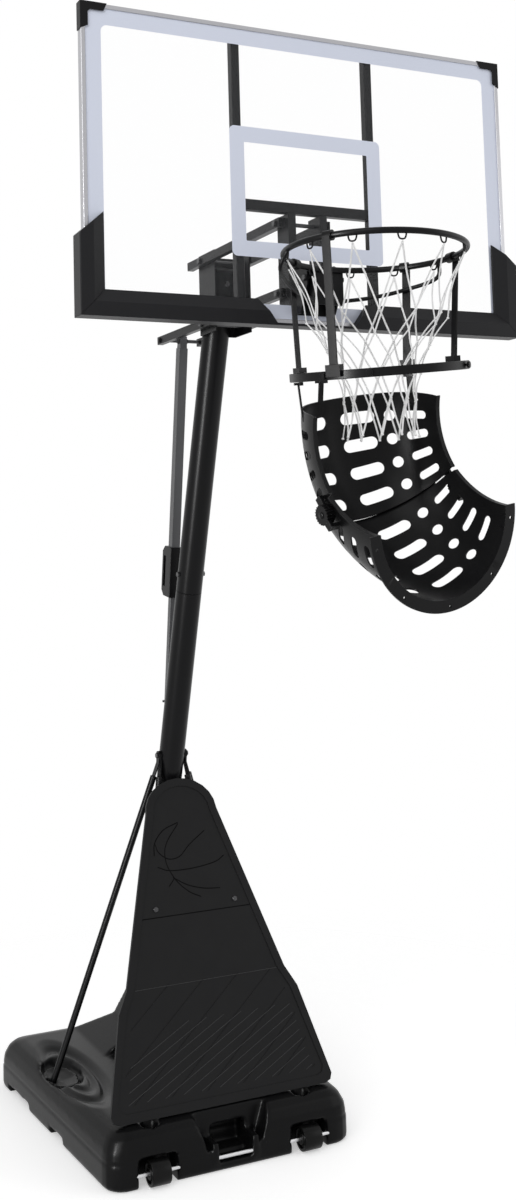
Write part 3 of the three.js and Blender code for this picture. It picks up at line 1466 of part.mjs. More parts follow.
// A shoe that rides on the lip inside the carrier ring.
function shoe(around) {
  const out = onRing(1, around, 0);
  const tangent = vec(-out.y, out.x, 0);
  const frame = new THREE.Matrix4().makeBasis(out, tangent, vec(0, 0, 1));
  const inner = carrierRadius - carrierWall / 2 - carrierLip;
  const depth = carrierLip + strapThickness * 2;
  const middle = inner + carrierLip * 0.9 - depth / 2;
  const low = -carrierHeight / 2 - strapThickness * 1.6;
  const high = carrierLipThickness * 0.6;
  const geometry = new THREE.BoxGeometry(depth, shoeLength, high - low);
  geometry.applyMatrix4(frame).translate(out.x * middle, out.y * middle, (high + low) / 2);
  return solid(geometry, chuteFromCarrier);
}

// A strap from the wall's upper edge to a shoe.
function chuteStrap(angle) {
  const distance = upperTop + upperTopSlant * Math.cos(angle * degree) + strapWidth;
  const { centre, outward } = chutePlace(upperLine, distance, angle);
  const foot = centre.addScaledVector(outward, upperRadius + chuteWall / 4).applyMatrix4(carrierFromChute);
  const around = Math.atan2(foot.y, foot.x);
  const head = onRing(carrierRadius - carrierWall / 2 - carrierLip * 0.9, around,
    -carrierHeight / 2 - strapThickness);
  const z = head.clone().sub(foot).normalize();
  const y = z.clone().cross(onRing(1, around, 0)).normalize();
  const frame = new THREE.Matrix4().makeBasis(y.clone().cross(z), y, z);
  frame.setPosition(foot.clone().add(head).multiplyScalar(0.5));
  const strapBox = new THREE.BoxGeometry(strapThickness, strapWidth, head.distanceTo(foot) + strapThickness);
  return join(solid(strapBox, chuteFromCarrier.clone().multiply(frame)), shoe(around));
}

function chuteUpper() {
  let body = trough(upperLine, upperTop, seamDistance, { slant: upperTopSlant, lipWidth: chuteLipWidth });
  body = cut(body, ...slotCuts(upperLine, upperSlotStart, upperSlotPitch));
  body = join(body, ...strapAngles.map(chuteStrap));
  for (const side of [-1, 1]) {
    body = join(body, knuckleArm(side, innerKnuckleX, upperLine, -1, upperKnuckleReach),
      knuckleDisc(side, innerKnuckleX));
    body = cut(body, crossRod(knucklePinRadius + runningGap, side * (upperRadius - cutOverrun),
      side * outerKnuckleX, hingeCentre.y, hingeCentre.z));
  }
  body = cut(body, turned(carrierProfile(shoeGap), carrierSegments, chuteFromCarrier));
  return piece('chute_upper', body, blackPlastic());
}

function chuteLower() {
  let body = trough(lowerLine, seamDistance - nestOverlap, lowerOutlet, { lipWidth: chuteLipWidth });
  body = cut(body, seamBlock(0), seamBlock(chuteTiltRange));
  body = body.add(trough(lowerLine, lowerOutlet - chuteWall, lowerOutlet, { wall: chuteOutletFlange, rows: 1 }));
  body = cut(body, ...slotCuts(lowerLine, lowerSlotStart, lowerSlotPitch), ...outletHoles());
  for (const side of [-1, 1]) {
    body = join(body, knuckleDisc(side, outerKnuckleX),
      knuckleArm(side, outerKnuckleX, lowerLine, 1, lowerKnuckleReach),
      crossRod(knucklePinRadius, side * (lowerLine.radius + chuteWall + runningGap), side * outerKnuckleX,
        hingeCentre.y, hingeCentre.z));
  }
  return piece('chute_lower', body, blackPlastic());
}

// Small holes through the outlet's flange.
function outletHoles() {
  return Array.from({ length: chuteOutletHoles }, (unused, k) => {
    const angle = chuteHalfAngle * 0.9 * ((2 * k) / (chuteOutletHoles - 1) - 1);
    const { centre, along, outward } = chutePlace(lowerLine, lowerOutlet, angle);
    const middle = centre.addScaledVector(outward, lowerLine.radius + (chuteWall + chuteOutletFlange) / 2);
    return rod(chuteOutletHole, middle.clone().addScaledVector(along, -cutOverrun),
      middle.clone().addScaledVector(along, cutOverrun), 6);
  });
}

function hoop() {
  const group = new THREE.Group();
  group.position.set(0, rimCentreY, rimHeight);
  group.add(rimRing());
  group.add(piece('net', netBody(), whiteCord()));
  hangerAngles.forEach((angle, k) => group.add(hanger(`hanger_${k + 1}`, angle)));
  group.add(piece('carrier_ring', turned(carrierProfile(0), carrierSegments, carrierFrame), blackPlastic()));
  for (const half of [chuteUpper(), chuteLower()]) {
    half.geometry.applyMatrix4(chuteFrame);
    group.add(half);
  }
  return group;
}

function wheels() {
  const group = new THREE.Group();
  for (const [word, side] of [['left', -1], ['right', 1]]) {
    const mesh = wheel(`wheel_${word}`);
    mesh.position.set(side * wheelAcross, axleY, axleZ);
    group.add(mesh);
  }
  return group;
}

const stand = new THREE.Group();
stand.add(baseTank(), fillCap(), wheelAxle(), wheels());
stand.add(pole(), poleFootBolt(), poleHeadChannel());
stand.add(headPivotBolt('arm_pivot_lower', lowerPivotHeight), headPivotBolt('arm_pivot_upper', upperPivotHeight));
stand.add(adjusterLug(), cover(), strutBolt());
for (const [word, side] of [['left', -1], ['right', 1]]) {
  stand.add(strut(`front_brace_${word}`, side, braceEyeX, braceFootAcross, braceFootY, baseHeight));
  stand.add(strut(`rear_strut_${word}`, side, strutEyeX, strutFootAcross, strutFootY, strutSocketHeight));
}
stand.add(lowerArms(), upperArms(), adjuster(), backboard(), hoop());

export default stand;
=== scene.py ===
import json
import math

import bmesh
import bpy
from mathutils import Matrix, Vector

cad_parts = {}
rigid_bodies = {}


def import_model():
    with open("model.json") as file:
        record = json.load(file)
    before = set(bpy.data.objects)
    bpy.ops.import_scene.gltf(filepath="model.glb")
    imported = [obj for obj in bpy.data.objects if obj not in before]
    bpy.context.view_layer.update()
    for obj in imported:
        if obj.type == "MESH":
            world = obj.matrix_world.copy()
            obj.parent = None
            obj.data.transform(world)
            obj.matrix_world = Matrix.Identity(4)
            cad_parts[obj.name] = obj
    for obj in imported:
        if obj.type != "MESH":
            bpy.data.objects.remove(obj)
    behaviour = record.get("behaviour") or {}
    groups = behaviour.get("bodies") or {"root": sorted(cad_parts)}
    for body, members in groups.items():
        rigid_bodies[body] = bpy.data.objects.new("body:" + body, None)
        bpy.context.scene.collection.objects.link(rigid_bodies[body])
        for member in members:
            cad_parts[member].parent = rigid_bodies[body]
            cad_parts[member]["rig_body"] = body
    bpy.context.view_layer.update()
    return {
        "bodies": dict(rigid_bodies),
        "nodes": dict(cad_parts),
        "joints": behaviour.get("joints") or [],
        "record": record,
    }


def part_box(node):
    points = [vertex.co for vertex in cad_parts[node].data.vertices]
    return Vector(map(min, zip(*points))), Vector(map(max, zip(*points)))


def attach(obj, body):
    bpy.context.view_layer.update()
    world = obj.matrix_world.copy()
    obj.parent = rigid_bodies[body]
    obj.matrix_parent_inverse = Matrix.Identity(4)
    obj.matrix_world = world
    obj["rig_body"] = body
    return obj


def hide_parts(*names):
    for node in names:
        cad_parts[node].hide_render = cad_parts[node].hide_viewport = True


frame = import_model()
nodes = frame["nodes"]
rootCollection = bpy.context.scene.collection
bodyOf = {node: obj["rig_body"] for node, obj in nodes.items()}
slotOf = {entry["node"]: entry["material_slot"] for entry in frame["record"]["subparts"]}
print("frame loaded")

# Shared places, all in metres in the frame's own axes.
stand = {
    "rimHeight": 2.6255,
    "poleLean": 17.67,
    "rimRadius": 0.233,
    "rimRod": 0.016,
    "rimReach": 0.333,
}
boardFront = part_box("frame_rail_bottom")[0].y
rimCentre = Vector((0, boardFront - stand["rimReach"], stand["rimHeight"]))


# Camera: where the photograph was taken from.
camera = {
    "place": (-1.8084, -4.3477, 1.8769),
    "yaw": 24.41,
    "pitch": 5.137,
    "roll": -1.394,
    "focalShare": 1336.9 / 1200,   # focal length over the frame's height
    "shift": (0.0479, -0.1424),
}


def addCamera(values):
    yaw, pitch, roll = (math.radians(values[key]) for key in ("yaw", "pitch", "roll"))
    forward = Vector((math.sin(yaw) * math.cos(pitch), math.cos(yaw) * math.cos(pitch), math.sin(pitch)))
    level = Vector((math.cos(yaw), -math.sin(yaw), 0))
    upright = level.cross(forward)
    right = level * math.cos(roll) + upright * math.sin(roll)
    up = upright * math.cos(roll) - level * math.sin(roll)
    data = bpy.data.cameras.new("camera")
    data.sensor_fit = "VERTICAL"
    data.sensor_height = 24
    data.lens = values["focalShare"] * data.sensor_height
    data.shift_x, data.shift_y = values["shift"]
    data.clip_start = 0.05
    data.clip_end = 60
    obj = bpy.data.objects.new("camera", data)
    turn = Matrix((right, up, -forward)).transposed().to_4x4()
    obj.matrix_world = Matrix.Translation(values["place"]) @ turn
    rootCollection.objects.link(obj)
    bpy.context.scene.camera = obj


addCamera(camera)
print("camera placed")


# Materials: every one is a Principled shader with its colour, roughness and bump from noise.
def mapRange(tree, value, low, high):
    node = tree.nodes.new("ShaderNodeMapRange")
    node.inputs["To Min"].default_value = low
    node.inputs["To Max"].default_value = high
    tree.links.new(value, node.inputs["Value"])
    return node.outputs["Result"]


def noise(tree, coords, scale, detail=3.0, roughness=0.55):
    node = tree.nodes.new("ShaderNodeTexNoise")
    node.inputs["Scale"].default_value = scale
    node.inputs["Detail"].default_value = detail
    node.inputs["Roughness"].default_value = roughness
    tree.links.new(coords, node.inputs["Vector"])
    return node.outputs["Fac"]


def surface(name, color, roughness, metallic=0.0, mottle=0.12, mottleScale=5.0, spread=0.08,
            grainScale=900.0, grainDepth=0.00006, stretch=(1, 1, 1), specular=0.5, softEdge=0.0,
            alpha=1.0, sheen=0.0):
    material = bpy.data.materials.new(name)
    material.use_nodes = True
    tree = material.node_tree
    shader = tree.nodes["Principled BSDF"]
    coordNode = tree.nodes.new("ShaderNodeTexCoord")
    mapping = tree.nodes.new("ShaderNodeMapping")
    mapping.inputs["Scale"].default_value = stretch
    tree.links.new(coordNode.outputs["Object"], mapping.inputs["Vector"])
    coords = mapping.outputs["Vector"]
    broad = noise(tree, coords, mottleScale)
    fine = noise(tree, coords, grainScale, 2.0)
    mix = tree.nodes.new("ShaderNodeMix")
    mix.data_type = "RGBA"
    mix.inputs["A"].default_value = (*[c * (1 - mottle) for c in color], 1)
    mix.inputs["B"].default_value = (*[min(1, c * (1 + mottle)) for c in color], 1)
    tree.links.new(broad, mix.inputs["Factor"])
    tree.links.new(mix.outputs["Result"], shader.inputs["Base Color"])
    rough = mapRange(tree, fine, max(0.02, roughness - spread), min(1, roughness + spread))
    tree.links.new(rough, shader.inputs["Roughness"])
    bump = tree.nodes.new("ShaderNodeBump")
    bump.inputs["Distance"].default_value = grainDepth
    tree.links.new(fine, bump.inputs["Height"])
    if softEdge > 0:
        edge = tree.nodes.new("ShaderNodeBevel")
        edge.samples = 4
        edge.inputs["Radius"].default_value = softEdge
        tree.links.new(edge.outputs["Normal"], bump.inputs["Normal"])
    tree.links.new(bump.outputs["Normal"], shader.inputs["Normal"])
    shader.inputs["Metallic"].default_value = metallic
    shader.inputs["Specular IOR Level"].default_value = specular
    shader.inputs["Sheen Weight"].default_value = sheen
    shader.inputs["Alpha"].default_value = alpha
    return material


materials = {
    "tank_plastic": surface("blackTankPlastic", (0.0042, 0.0042, 0.0045), 0.3, specular=0.1,
                            grainScale=420, grainDepth=0.00012, mottle=0.25, mottleScale=9),
    "wheel_plastic": surface("wheelPlastic", (0.0045, 0.0045, 0.0045), 0.32, specular=0.12, softEdge=0.001),
    "bright_steel": surface("brightZincSteel", (0.62, 0.62, 0.63), 0.28, metallic=1, stretch=(1, 8, 8)),
    "coated_steel": surface("blackPowderCoat", (0.0055, 0.0055, 0.0062), 0.3, specular=0.12,
                            grainScale=1400, grainDepth=0.00005, mottle=0.15),
    "bolt_steel": surface("blackenedBolt", (0.055, 0.055, 0.057), 0.28, metallic=0.7,
                          mottle=0.3, mottleScale=60),
    "cover_plastic": surface("coverPlastic", (0.0125, 0.0125, 0.013), 0.5, specular=0.1,
                             grainScale=700, grainDepth=0.00014, mottle=0.14, mottleScale=14),
    "tube_steel": surface("darkGreyTube", (0.075, 0.076, 0.08), 0.38, metallic=0.25, mottle=0.12),
    "grip_plastic": surface("gripPlastic", (0.005, 0.005, 0.0055), 0.3, specular=0.12),
    "clear_panel": surface("clearPanel", (0.93, 0.95, 0.99), 0.05, mottle=0.02, spread=0.02,
                           grainDepth=0.000005, alpha=0.015, specular=0.06),
    "frame_aluminium": surface("satinAluminium", (0.42, 0.42, 0.44), 0.3, metallic=0.9, mottle=0.06,
                               grainScale=500, stretch=(1, 12, 1), spread=0.1),
    "cap_plastic": surface("cornerCapPlastic", (0.006, 0.006, 0.0065), 0.4, specular=0.12),
    "pad_rubber": surface("padSkin", (0.0125, 0.0125, 0.014), 0.42, specular=0.13, grainScale=620,
                          grainDepth=0.00016, mottle=0.12, mottleScale=18),
    "net_cord": surface("netCord", (0.97, 0.97, 0.97), 0.85, grainScale=1500, grainDepth=0.0005,
                        mottle=0.08, mottleScale=200, stretch=(1, 1, 0.4), sheen=0.2),
    "chute_plastic": surface("chutePlastic", (0.0052, 0.0052, 0.0057), 0.3, specular=0.12, grainScale=800,
                             grainDepth=0.00006, mottle=0.12, softEdge=0.0012),
}
inkMaterial = surface("paleInk", (0.7, 0.74, 0.86), 0.35, mottle=0.04, mottleScale=1.4, spread=0.04,
                      grainScale=300, grainDepth=0.00002)


# Mesh making.
def meshFrom(shape, name):
    mesh = bpy.data.meshes.new(name)
    shape.to_mesh(mesh)
    shape.free()
    return mesh


def shadeByAngle(mesh, degrees):
    mesh.polygons.foreach_set("use_smooth", [True] * len(mesh.polygons))
    mesh.set_sharp_from_angle(angle=math.radians(degrees))


def place(name, mesh, body, slotName, stands=(), material=None, sharp=35):
    shadeByAngle(mesh, sharp)
    mesh.materials.clear()
    mesh.materials.append(material or materials[slotName])
    obj = bpy.data.objects.new(name, mesh)
    rootCollection.objects.link(obj)
    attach(obj, body)
    if stands:
        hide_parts(*stands)
    return obj


# Bakes an object's modifiers into its mesh.
def bake(obj):
    graph = bpy.context.evaluated_depsgraph_get()
    mesh = bpy.data.meshes.new_from_object(obj.evaluated_get(graph))
    obj.modifiers.clear()
    obj.data = mesh
    return obj


def bevelled(obj, width, segments=2, degrees=35):
    bevel = obj.modifiers.new("edges", "BEVEL")
    bevel.width = width
    bevel.segments = segments
    bevel.limit_method = "ANGLE"
    bevel.angle_limit = math.radians(degrees)
    weighted = obj.modifiers.new("flatness", "WEIGHTED_NORMAL")
    weighted.keep_sharp = True
    return bake(obj)


# A finer stand-in for one CAD node: flat faces are merged and every hard edge is rounded.
def refined(node, width=0.0012, segments=2, sharp=35):
    shape = bmesh.new()
    shape.from_mesh(nodes[node].data)
    bmesh.ops.remove_doubles(shape, verts=shape.verts, dist=1e-6)
    bmesh.ops.dissolve_limit(shape, angle_limit=math.radians(1), verts=shape.verts, edges=shape.edges)
    mesh = meshFrom(shape, node + "_fine")
    obj = place(node + "_fine", mesh, bodyOf[node], slotOf[node], [node], sharp=sharp)
    return bevelled(obj, width, segments, sharp)


def addFaces(shape, vertices, faces):
    made = [shape.verts.new(v) for v in vertices]
    for face in faces:
        shape.faces.new([made[i] for i in face])


# Rings of points joined into a tube; closed either into a loop or with end caps.
def tubeRings(shape, rings, loop=False):
    count = len(rings[0])
    vertices = [point for ring in rings for point in ring]
    faces = []
    last = len(rings) if loop else len(rings) - 1
    for k in range(last):
        low = k * count
        high = ((k + 1) % len(rings)) * count
        for i in range(count):
            j = (i + 1) % count
            faces.append((low + i, low + j, high + j, high + i))
    if not loop:
        faces.append(tuple(reversed(range(count))))
        faces.append(tuple(range((len(rings) - 1) * count, len(rings) * count)))
    addFaces(shape, vertices, faces)


# A round bar along points, with its frame carried along without twist.
def sweep(shape, points, radius, sides=14):
    points = [Vector(p) for p in points]
    count = len(points)
    rings = []
    across = None
    for k, point in enumerate(points):
        direction = (points[min(k + 1, count - 1)] - points[max(k - 1, 0)]).normalized()
        if across is None:
            guide = Vector((1, 0, 0)) if abs(direction.x) < 0.9 else Vector((0, 0, 1))
            across = direction.cross(guide).normalized()
        across = (across - direction * across.dot(direction)).normalized()
        other = direction.cross(across)
        rings.append([point + across * radius * math.cos(2 * math.pi * i / sides)
                      + other * radius * math.sin(2 * math.pi * i / sides) for i in range(sides)])
    tubeRings(shape, rings)


# A closed [radius, height] profile turned about an axis through a point.
def turned(shape, profile, centre=(0, 0, 0), axis=(0, 0, 1), segments=64):
    turn = Vector((0, 0, 1)).rotation_difference(Vector(axis)).to_matrix()
    rings = []
    for k in range(segments):
        angle = 2 * math.pi * k / segments
        rings.append([Vector(centre) + turn @ Vector((r * math.cos(angle), r * math.sin(angle), h))
                      for r, h in profile])
    tubeRings(shape, rings, True)


# A solid that a closed profile sweeps, given in two axes and pushed along the third.
def prism(shape, outline, start, end, place3):
    rings = [[place3(a, b, depth) for a, b in outline] for depth in (start, end)]
    tubeRings(shape, rings)
    bmesh.ops.recalc_face_normals(shape, faces=shape.faces)


def boxShape(shape, low, high):
    x0, y0, z0 = low
    x1, y1, z1 = high
    prism(shape, [(x0, y0), (x1, y0), (x1, y1), (x0, y1)], z0, z1, lambda a, b, d: Vector((a, b, d)))


def finishShape(shape):
    bmesh.ops.recalc_face_normals(shape, faces=shape.faces)
    return shape


# Cuts one mesh with another and gives the result back as a mesh.
def carved(mesh, cutter, operation="DIFFERENCE"):
    body = bpy.data.objects.new("carvedBody", mesh)
    tool = bpy.data.objects.new("carvedTool", cutter)
    for obj in (body, tool):
        rootCollection.objects.link(obj)
    modifier = body.modifiers.new("cut", "BOOLEAN")
    modifier.operation = operation
    modifier.object = tool
    modifier.solver = "EXACT"
    bake(body)
    result = body.data
    for obj in (body, tool):
        bpy.data.objects.remove(obj)
    return result


def arc(centre, radius, start, end, steps):
    return [(centre[0] + radius * math.cos(math.radians(start + (end - start) * k / steps)),
             centre[1] + radius * math.sin(math.radians(start + (end - start) * k / steps)))
            for k in range(steps + 1)]


def roundedRect(x0, x1, z0, z1, radius, steps=6):
    return (arc((x1 - radius, z0 + radius), radius, -90, 0, steps)
            + arc((x1 - radius, z1 - radius), radius, 0, 90, steps)
            + arc((x0 + radius, z1 - radius), radius, 90, 180, steps)
            + arc((x0 + radius, z0 + radius), radius, 180, 270, steps))


# A curve through points, as closely spaced points.
def smoothLine(points, steps=8):
    points = [Vector(p) for p in points]
    ends = [points[0] * 2 - points[1]] + points + [points[-1] * 2 - points[-2]]
    line = []
    for k in range(1, len(ends) - 2):
        a, b, c, d = ends[k - 1:k + 3]
        for s in range(steps):
            t = s / steps
            line.append(0.5 * ((2 * b) + (c - a) * t + (2 * a - 5 * b + 4 * c - d) * t * t
                               + (3 * b - a - 3 * c + d) * t ** 3))
    line.append(points[-1])
    return line


# Base tank: the blow-moulded look comes from a remesh that rounds every edge, then shallow ripples.
tank = {
    "voxel": 0.0055,
    "softening": 7,
    "dishAcross": 0.335,
    "dishBack": 0.045,
    "dishHalf": (0.080, 0.290),
    "dishDepth": 0.009,
    "ripple": 0.0035,
    "ripples": 3,
    "partingHeight": 0.078,
    "parting": 0.0022,
    "partingHalf": 0.004,
    "partingReach": 0.3,
    "topAbove": 0.135,
    "dishEdge": (0.8, 1.15),
    "rippleEdge": (0.15, 0.4),
}


def smoothStep(low, high, value):
    share = min(1, max(0, (value - low) / (high - low)))
    return share * share * (3 - 2 * share)


def makeTank(values):
    mesh = nodes["base_tank"].data.copy()
    shape = bmesh.new()
    shape.from_mesh(mesh)
    bmesh.ops.remove_doubles(shape, verts=shape.verts, dist=1e-6)
    mesh = meshFrom(shape, "tank")
    obj = place("tank", mesh, "stand", "tank_plastic", ["base_tank"], sharp=180)
    remesh = obj.modifiers.new("moulding", "REMESH")
    remesh.mode = "VOXEL"
    remesh.voxel_size = values["voxel"]
    remesh.use_smooth_shade = True
    smooth = obj.modifiers.new("softening", "SMOOTH")
    smooth.iterations = values["softening"]
    smooth.factor = 0.5
    bake(obj)
    wide, long = values["dishHalf"]
    for vert in obj.data.vertices:
        x, y, z = vert.co
        if z > values["topAbove"]:
            reach = math.hypot((abs(x) - values["dishAcross"]) / wide, (y - values["dishBack"]) / long)
            dip = 1 - smoothStep(*values["dishEdge"], reach)
            wave = math.cos(reach * values["ripples"] * 2 * math.pi) * dip
            wave *= smoothStep(*values["rippleEdge"], reach)
            vert.co.z -= dip * values["dishDepth"] + (1 - wave) * dip * values["ripple"]
        near = math.exp(-((z - values["partingHeight"]) / values["partingHalf"]) ** 2)
        if near > 0.02 and math.hypot(x, y) > values["partingReach"]:
            vert.co.xy *= 1 - near * values["parting"] / math.hypot(x, y)


makeTank(tank)
refined("fill_cap", 0.0015)
print("tank made")


# Wheels and axle.
wheel = {
    "radius": 0.037,
    "halfWidth": 0.031,
    "bore": 0.0066,
    "hub": 0.017,
    "dish": 0.006,
}


def makeWheel(node, values):
    low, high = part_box(node)
    centre = (low + high) / 2
    half = values["halfWidth"]
    radius = values["radius"]
    hub = values["hub"]
    dish = values["dish"]
    ease = radius * 0.08
    rim = radius - ease * 3
    side = [(values["bore"], half), (hub, half), (hub + ease, half - dish), (rim - ease, half - dish),
            (rim, half), (radius - ease, half), (radius - ease * 0.3, half - ease * 0.3),
            (radius, half - ease)]
    profile = side + [(r, -h) for r, h in reversed(side)]
    shape = bmesh.new()
    turned(shape, profile, centre, (1, 0, 0))
    place(node + "_fine", meshFrom(finishShape(shape), node + "_fine"), bodyOf[node], "wheel_plastic",
          [node], sharp=25)


makeWheel("wheel_left", wheel)
makeWheel("wheel_right", wheel)
refined("wheel_axle", 0.0008, sharp=40)
print("wheels made")


# Pole.
pole = {
    "radius": 0.043,
    "footY": 0.3174,
    "ease": 0.0012,
    "seamGap": 0.0003,
}
poleAxis = Vector((0, -math.sin(math.radians(stand["poleLean"])), math.cos(math.radians(stand["poleLean"]))))


def makePole(node, start, end):
    radius = pole["radius"]
    ease = pole["ease"]
    profile = [(0.001, start), (radius - ease, start), (radius, start + ease), (radius, end - ease),
               (radius - ease, end), (0.001, end)]
    shape = bmesh.new()
    turned(shape, profile, (0, pole["footY"], 0), poleAxis, 72)
    place(node + "_fine", meshFrom(finishShape(shape), node + "_fine"), "stand", "coated_steel",
          [node], sharp=25)


seams = {"foot": 0.0603, "lower": 0.92, "upper": 1.74, "top": 2.764}
for node, low, high in (("pole_lower", "foot", "lower"), ("pole_middle", "lower", "upper"),
                        ("pole_upper", "upper", "top")):
    gap = pole["seamGap"] if low != "foot" else 0
    makePole(node, (seams[low] + gap) / poleAxis.z, seams[high] / poleAxis.z)
for node in ("pole_seam_bolt", "pole_head_bolt", "pole_foot_bolt", "strut_bolt", "arm_pivot_lower",
             "arm_pivot_upper", "carriage_bolt_lower", "carriage_bolt_upper", "rim_hinge_pin",
             "adjuster_pin"):
    refined(node, 0.0007, sharp=40)
for node in ("front_brace_left", "front_brace_right", "rear_strut_left", "rear_strut_right"):
    refined(node, 0.0008, sharp=42)
for node in ("pole_head_channel", "adjuster_lug", "lower_arm_left", "lower_arm_right", "upper_arm_left",
             "upper_arm_right"):
    refined(node, 0.0016, 3)
print("pole and arms made")


# Adjuster.
for node, width in (("adjuster_tube", 0.003), ("adjuster_rod", 0.002), ("adjuster_grip", 0.005),
                    ("adjuster_trigger", 0.0015)):
    refined(node, width, 3)
print("adjuster made")


# Front cover with its border, grooves and ball relief. Line points are across and up, in metres.
cover = {
    "lean": 19.85,
    "panelDepth": 0.003,
    "halfWidths": [(0, 0.378), (0.300, 0.312), (0.365, 0.277)],
    "zoneInset": 0.047,
    "zoneTop": 0.362,
    "lineFirst": -0.600,
    "lineStep": 0.0609,
    "lineCount": 18,
    "lineSlope": 26,
    "lineRadius": 0.0011,
    "linePoint": 0.004,
    "linePoints": 130,
    "zoneEase": 0.030,
    "footRise": 0.012,
    "seamHeight": 0.567,
    "seamHalf": 0.192,
    "ballHeight": 0.735,
    "ballAside": 0.005,
    "ballLine": 0.0015,
    "ballArcs": [
        [(-0.025, 0.117), (-0.077, 0.056), (-0.087, 0), (-0.063, -0.058), (-0.023, -0.100), (0.018, -0.122)],
        [(0.066, 0.085), (0.005, 0.046), (-0.036, 0.012), (-0.077, 0.008), (-0.108, 0.032), (-0.116, 0.058)],
        [(-0.118, -0.014), (-0.077, -0.029), (0.005, -0.030), (0.086, -0.019), (0.122, -0.002)],
        [(-0.070, -0.052), (-0.023, -0.080), (0.032, -0.097), (0.090, -0.103)],
        [(-0.066, -0.055), (-0.088, -0.078)],
        [(-0.025, 0.121), (-0.082, 0.100), (-0.117, 0.062), (-0.125, 0.022)],
    ],
}
lineMaterials = {
    # Near-black lines: painted shade in the ball relief's grooves and in the seam line below the screws.
    "ball": surface("coverGroovePaintedShade", (0.0016, 0.0016, 0.0017), 0.6, specular=0.04),
    # Lighter lines: painted highlight on the edges of the cover's diagonal grooves and its zone top line.
    "ridge": surface("coverRidgePaintedHighlight", (0.046, 0.046, 0.047), 0.5, specular=0.12),
}


def makeCover(values):
    refined("front_cover", 0.0022, 2, 30)
    low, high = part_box("front_cover")
    lean = math.radians(values["lean"])
    up = Vector((0, math.sin(lean), math.cos(lean)))
    out = Vector((0, -math.cos(lean), math.sin(lean)))
    foot = Vector((0, low.y, low.z + values["footRise"] * math.sin(lean))) - out * values["panelDepth"]

    def onFace(x, z):
        return foot + Vector((x, 0, 0)) + up * z

    def halfWidth(z):
        for (z0, half0), (z1, half1) in zip(values["halfWidths"], values["halfWidths"][1:]):
            if z <= z1:
                return half0 + (half1 - half0) * (z - z0) / (z1 - z0)
        return values["halfWidths"][-1][1]

    shape = bmesh.new()
    slope = math.tan(math.radians(values["lineSlope"]))
    for k in range(values["lineCount"]):
        start = values["lineFirst"] + values["lineStep"] * k
        steps = [(start + t * values["linePoint"], t * values["linePoint"] * slope)
                 for t in range(values["linePoints"])]
        kept = [(x, z) for x, z in steps if values["zoneInset"] < z < values["zoneTop"]
                and abs(x) < halfWidth(z) - values["zoneInset"]]
        if len(kept) > 2:
            sweep(shape, [onFace(*kept[0]), onFace(*kept[-1])], values["lineRadius"], 6)
    across = halfWidth(values["zoneTop"]) - values["zoneEase"]
    sweep(shape, [onFace(-across, values["zoneTop"]), onFace(across, values["zoneTop"])],
          values["lineRadius"], 6)
    # The diagonal lines and the zone's top line are drawn lighter than the cover as painted highlight.
    place("coverRidges", meshFrom(finishShape(shape), "coverRidges"), "stand", "cover_plastic",
          material=lineMaterials["ridge"])
    # The ball relief arcs and the seam line, drawn near-black as painted shade in their grooves.
    shape = bmesh.new()
    for curve in values["ballArcs"]:
        line = smoothLine([(x, 0, z) for x, z in curve], 8)
        sweep(shape, [onFace(p.x + values["ballAside"], values["ballHeight"] + p.z) for p in line],
              values["ballLine"], 6)
    seam = [onFace(side * values["seamHalf"], values["seamHeight"]) for side in (-1, 1)]
    sweep(shape, seam, values["ballLine"], 6)
    place("coverBallRelief", meshFrom(finishShape(shape), "coverBallRelief"), "stand", "cover_plastic",
          material=lineMaterials["ball"])


makeCover(cover)
refined("cover_screw_left", 0.0008, sharp=40)
refined("cover_screw_right", 0.0008, sharp=40)
print("cover made")


# Backboard.
boardPrint = {
    "inset": 0.0055,
    "bandX": 0.610,
    "bandTop": 0.6405,
    "bandBottom": -0.0835,
    "corner": 0.018,
    "thickness": 0.0002,
    "clearance": 0.00005,
    "targetHalf": 0.240,
    "targetLow": 0.0455,
    "targetHigh": 0.410,
    "targetBand": 0.044,
    "targetCorner": 0.016,
    "targetInner": 0.003,
}


def printedFrame(name, outer, inner):
    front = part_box("backboard_panel")[0].y - boardPrint["clearance"]
    shape = bmesh.new()
    count = len(outer)
    vertices = []
    for y in (front - boardPrint["thickness"], front):
        for x, z in outer + inner:
            vertices.append(Vector((x, y, stand["rimHeight"] + z)))
    faces = []
    for i in range(count):
        j = (i + 1) % count
        faces.append((i, j, count + j, count + i))
        faces.append((2 * count + i, 3 * count + i, 3 * count + j, 2 * count + j))
        faces.append((i, 2 * count + i, 2 * count + j, j))
        faces.append((count + i, count + j, 3 * count + j, 3 * count + i))
    addFaces(shape, vertices, faces)
    place(name, meshFrom(finishShape(shape), name), "carriage", "clear_panel", material=inkMaterial)


def makePrint(values):
    low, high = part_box("backboard_panel")
    inset = values["inset"]
    base = stand["rimHeight"]
    outer = roundedRect(low.x + inset, high.x - inset, low.z - base + inset, high.z - base - inset, 0.002)
    inner = roundedRect(-values["bandX"], values["bandX"], values["bandBottom"], values["bandTop"],
                        values["corner"])
    printedFrame("printedBorder", outer, inner)
    half = values["targetHalf"]
    band = values["targetBand"]
    outer = roundedRect(-half, half, values["targetLow"], values["targetHigh"], values["targetCorner"])
    inner = roundedRect(-half + band, half - band, values["targetLow"] + band,
                        values["targetHigh"] - band, values["targetInner"])
    printedFrame("printedTarget", outer, inner)


refined("backboard_panel", 0.001)
makePrint(boardPrint)
for node in ("frame_rail_top", "frame_rail_bottom", "frame_rail_left", "frame_rail_right"):
    refined(node, 0.0012, 2)
for node in ("corner_cap_left", "corner_cap_right"):
    refined(node, 0.0025, 3)
for node in ("board_pad_left", "board_pad_right", "board_pad_bottom"):
    pad = refined(node, 0.0035, 3, 20)
for node in ("rear_tube_left", "rear_tube_right", "rear_crossbar", "centre_post_left", "centre_post_right"):
    refined(node, 0.0025, 3)
print("board made")


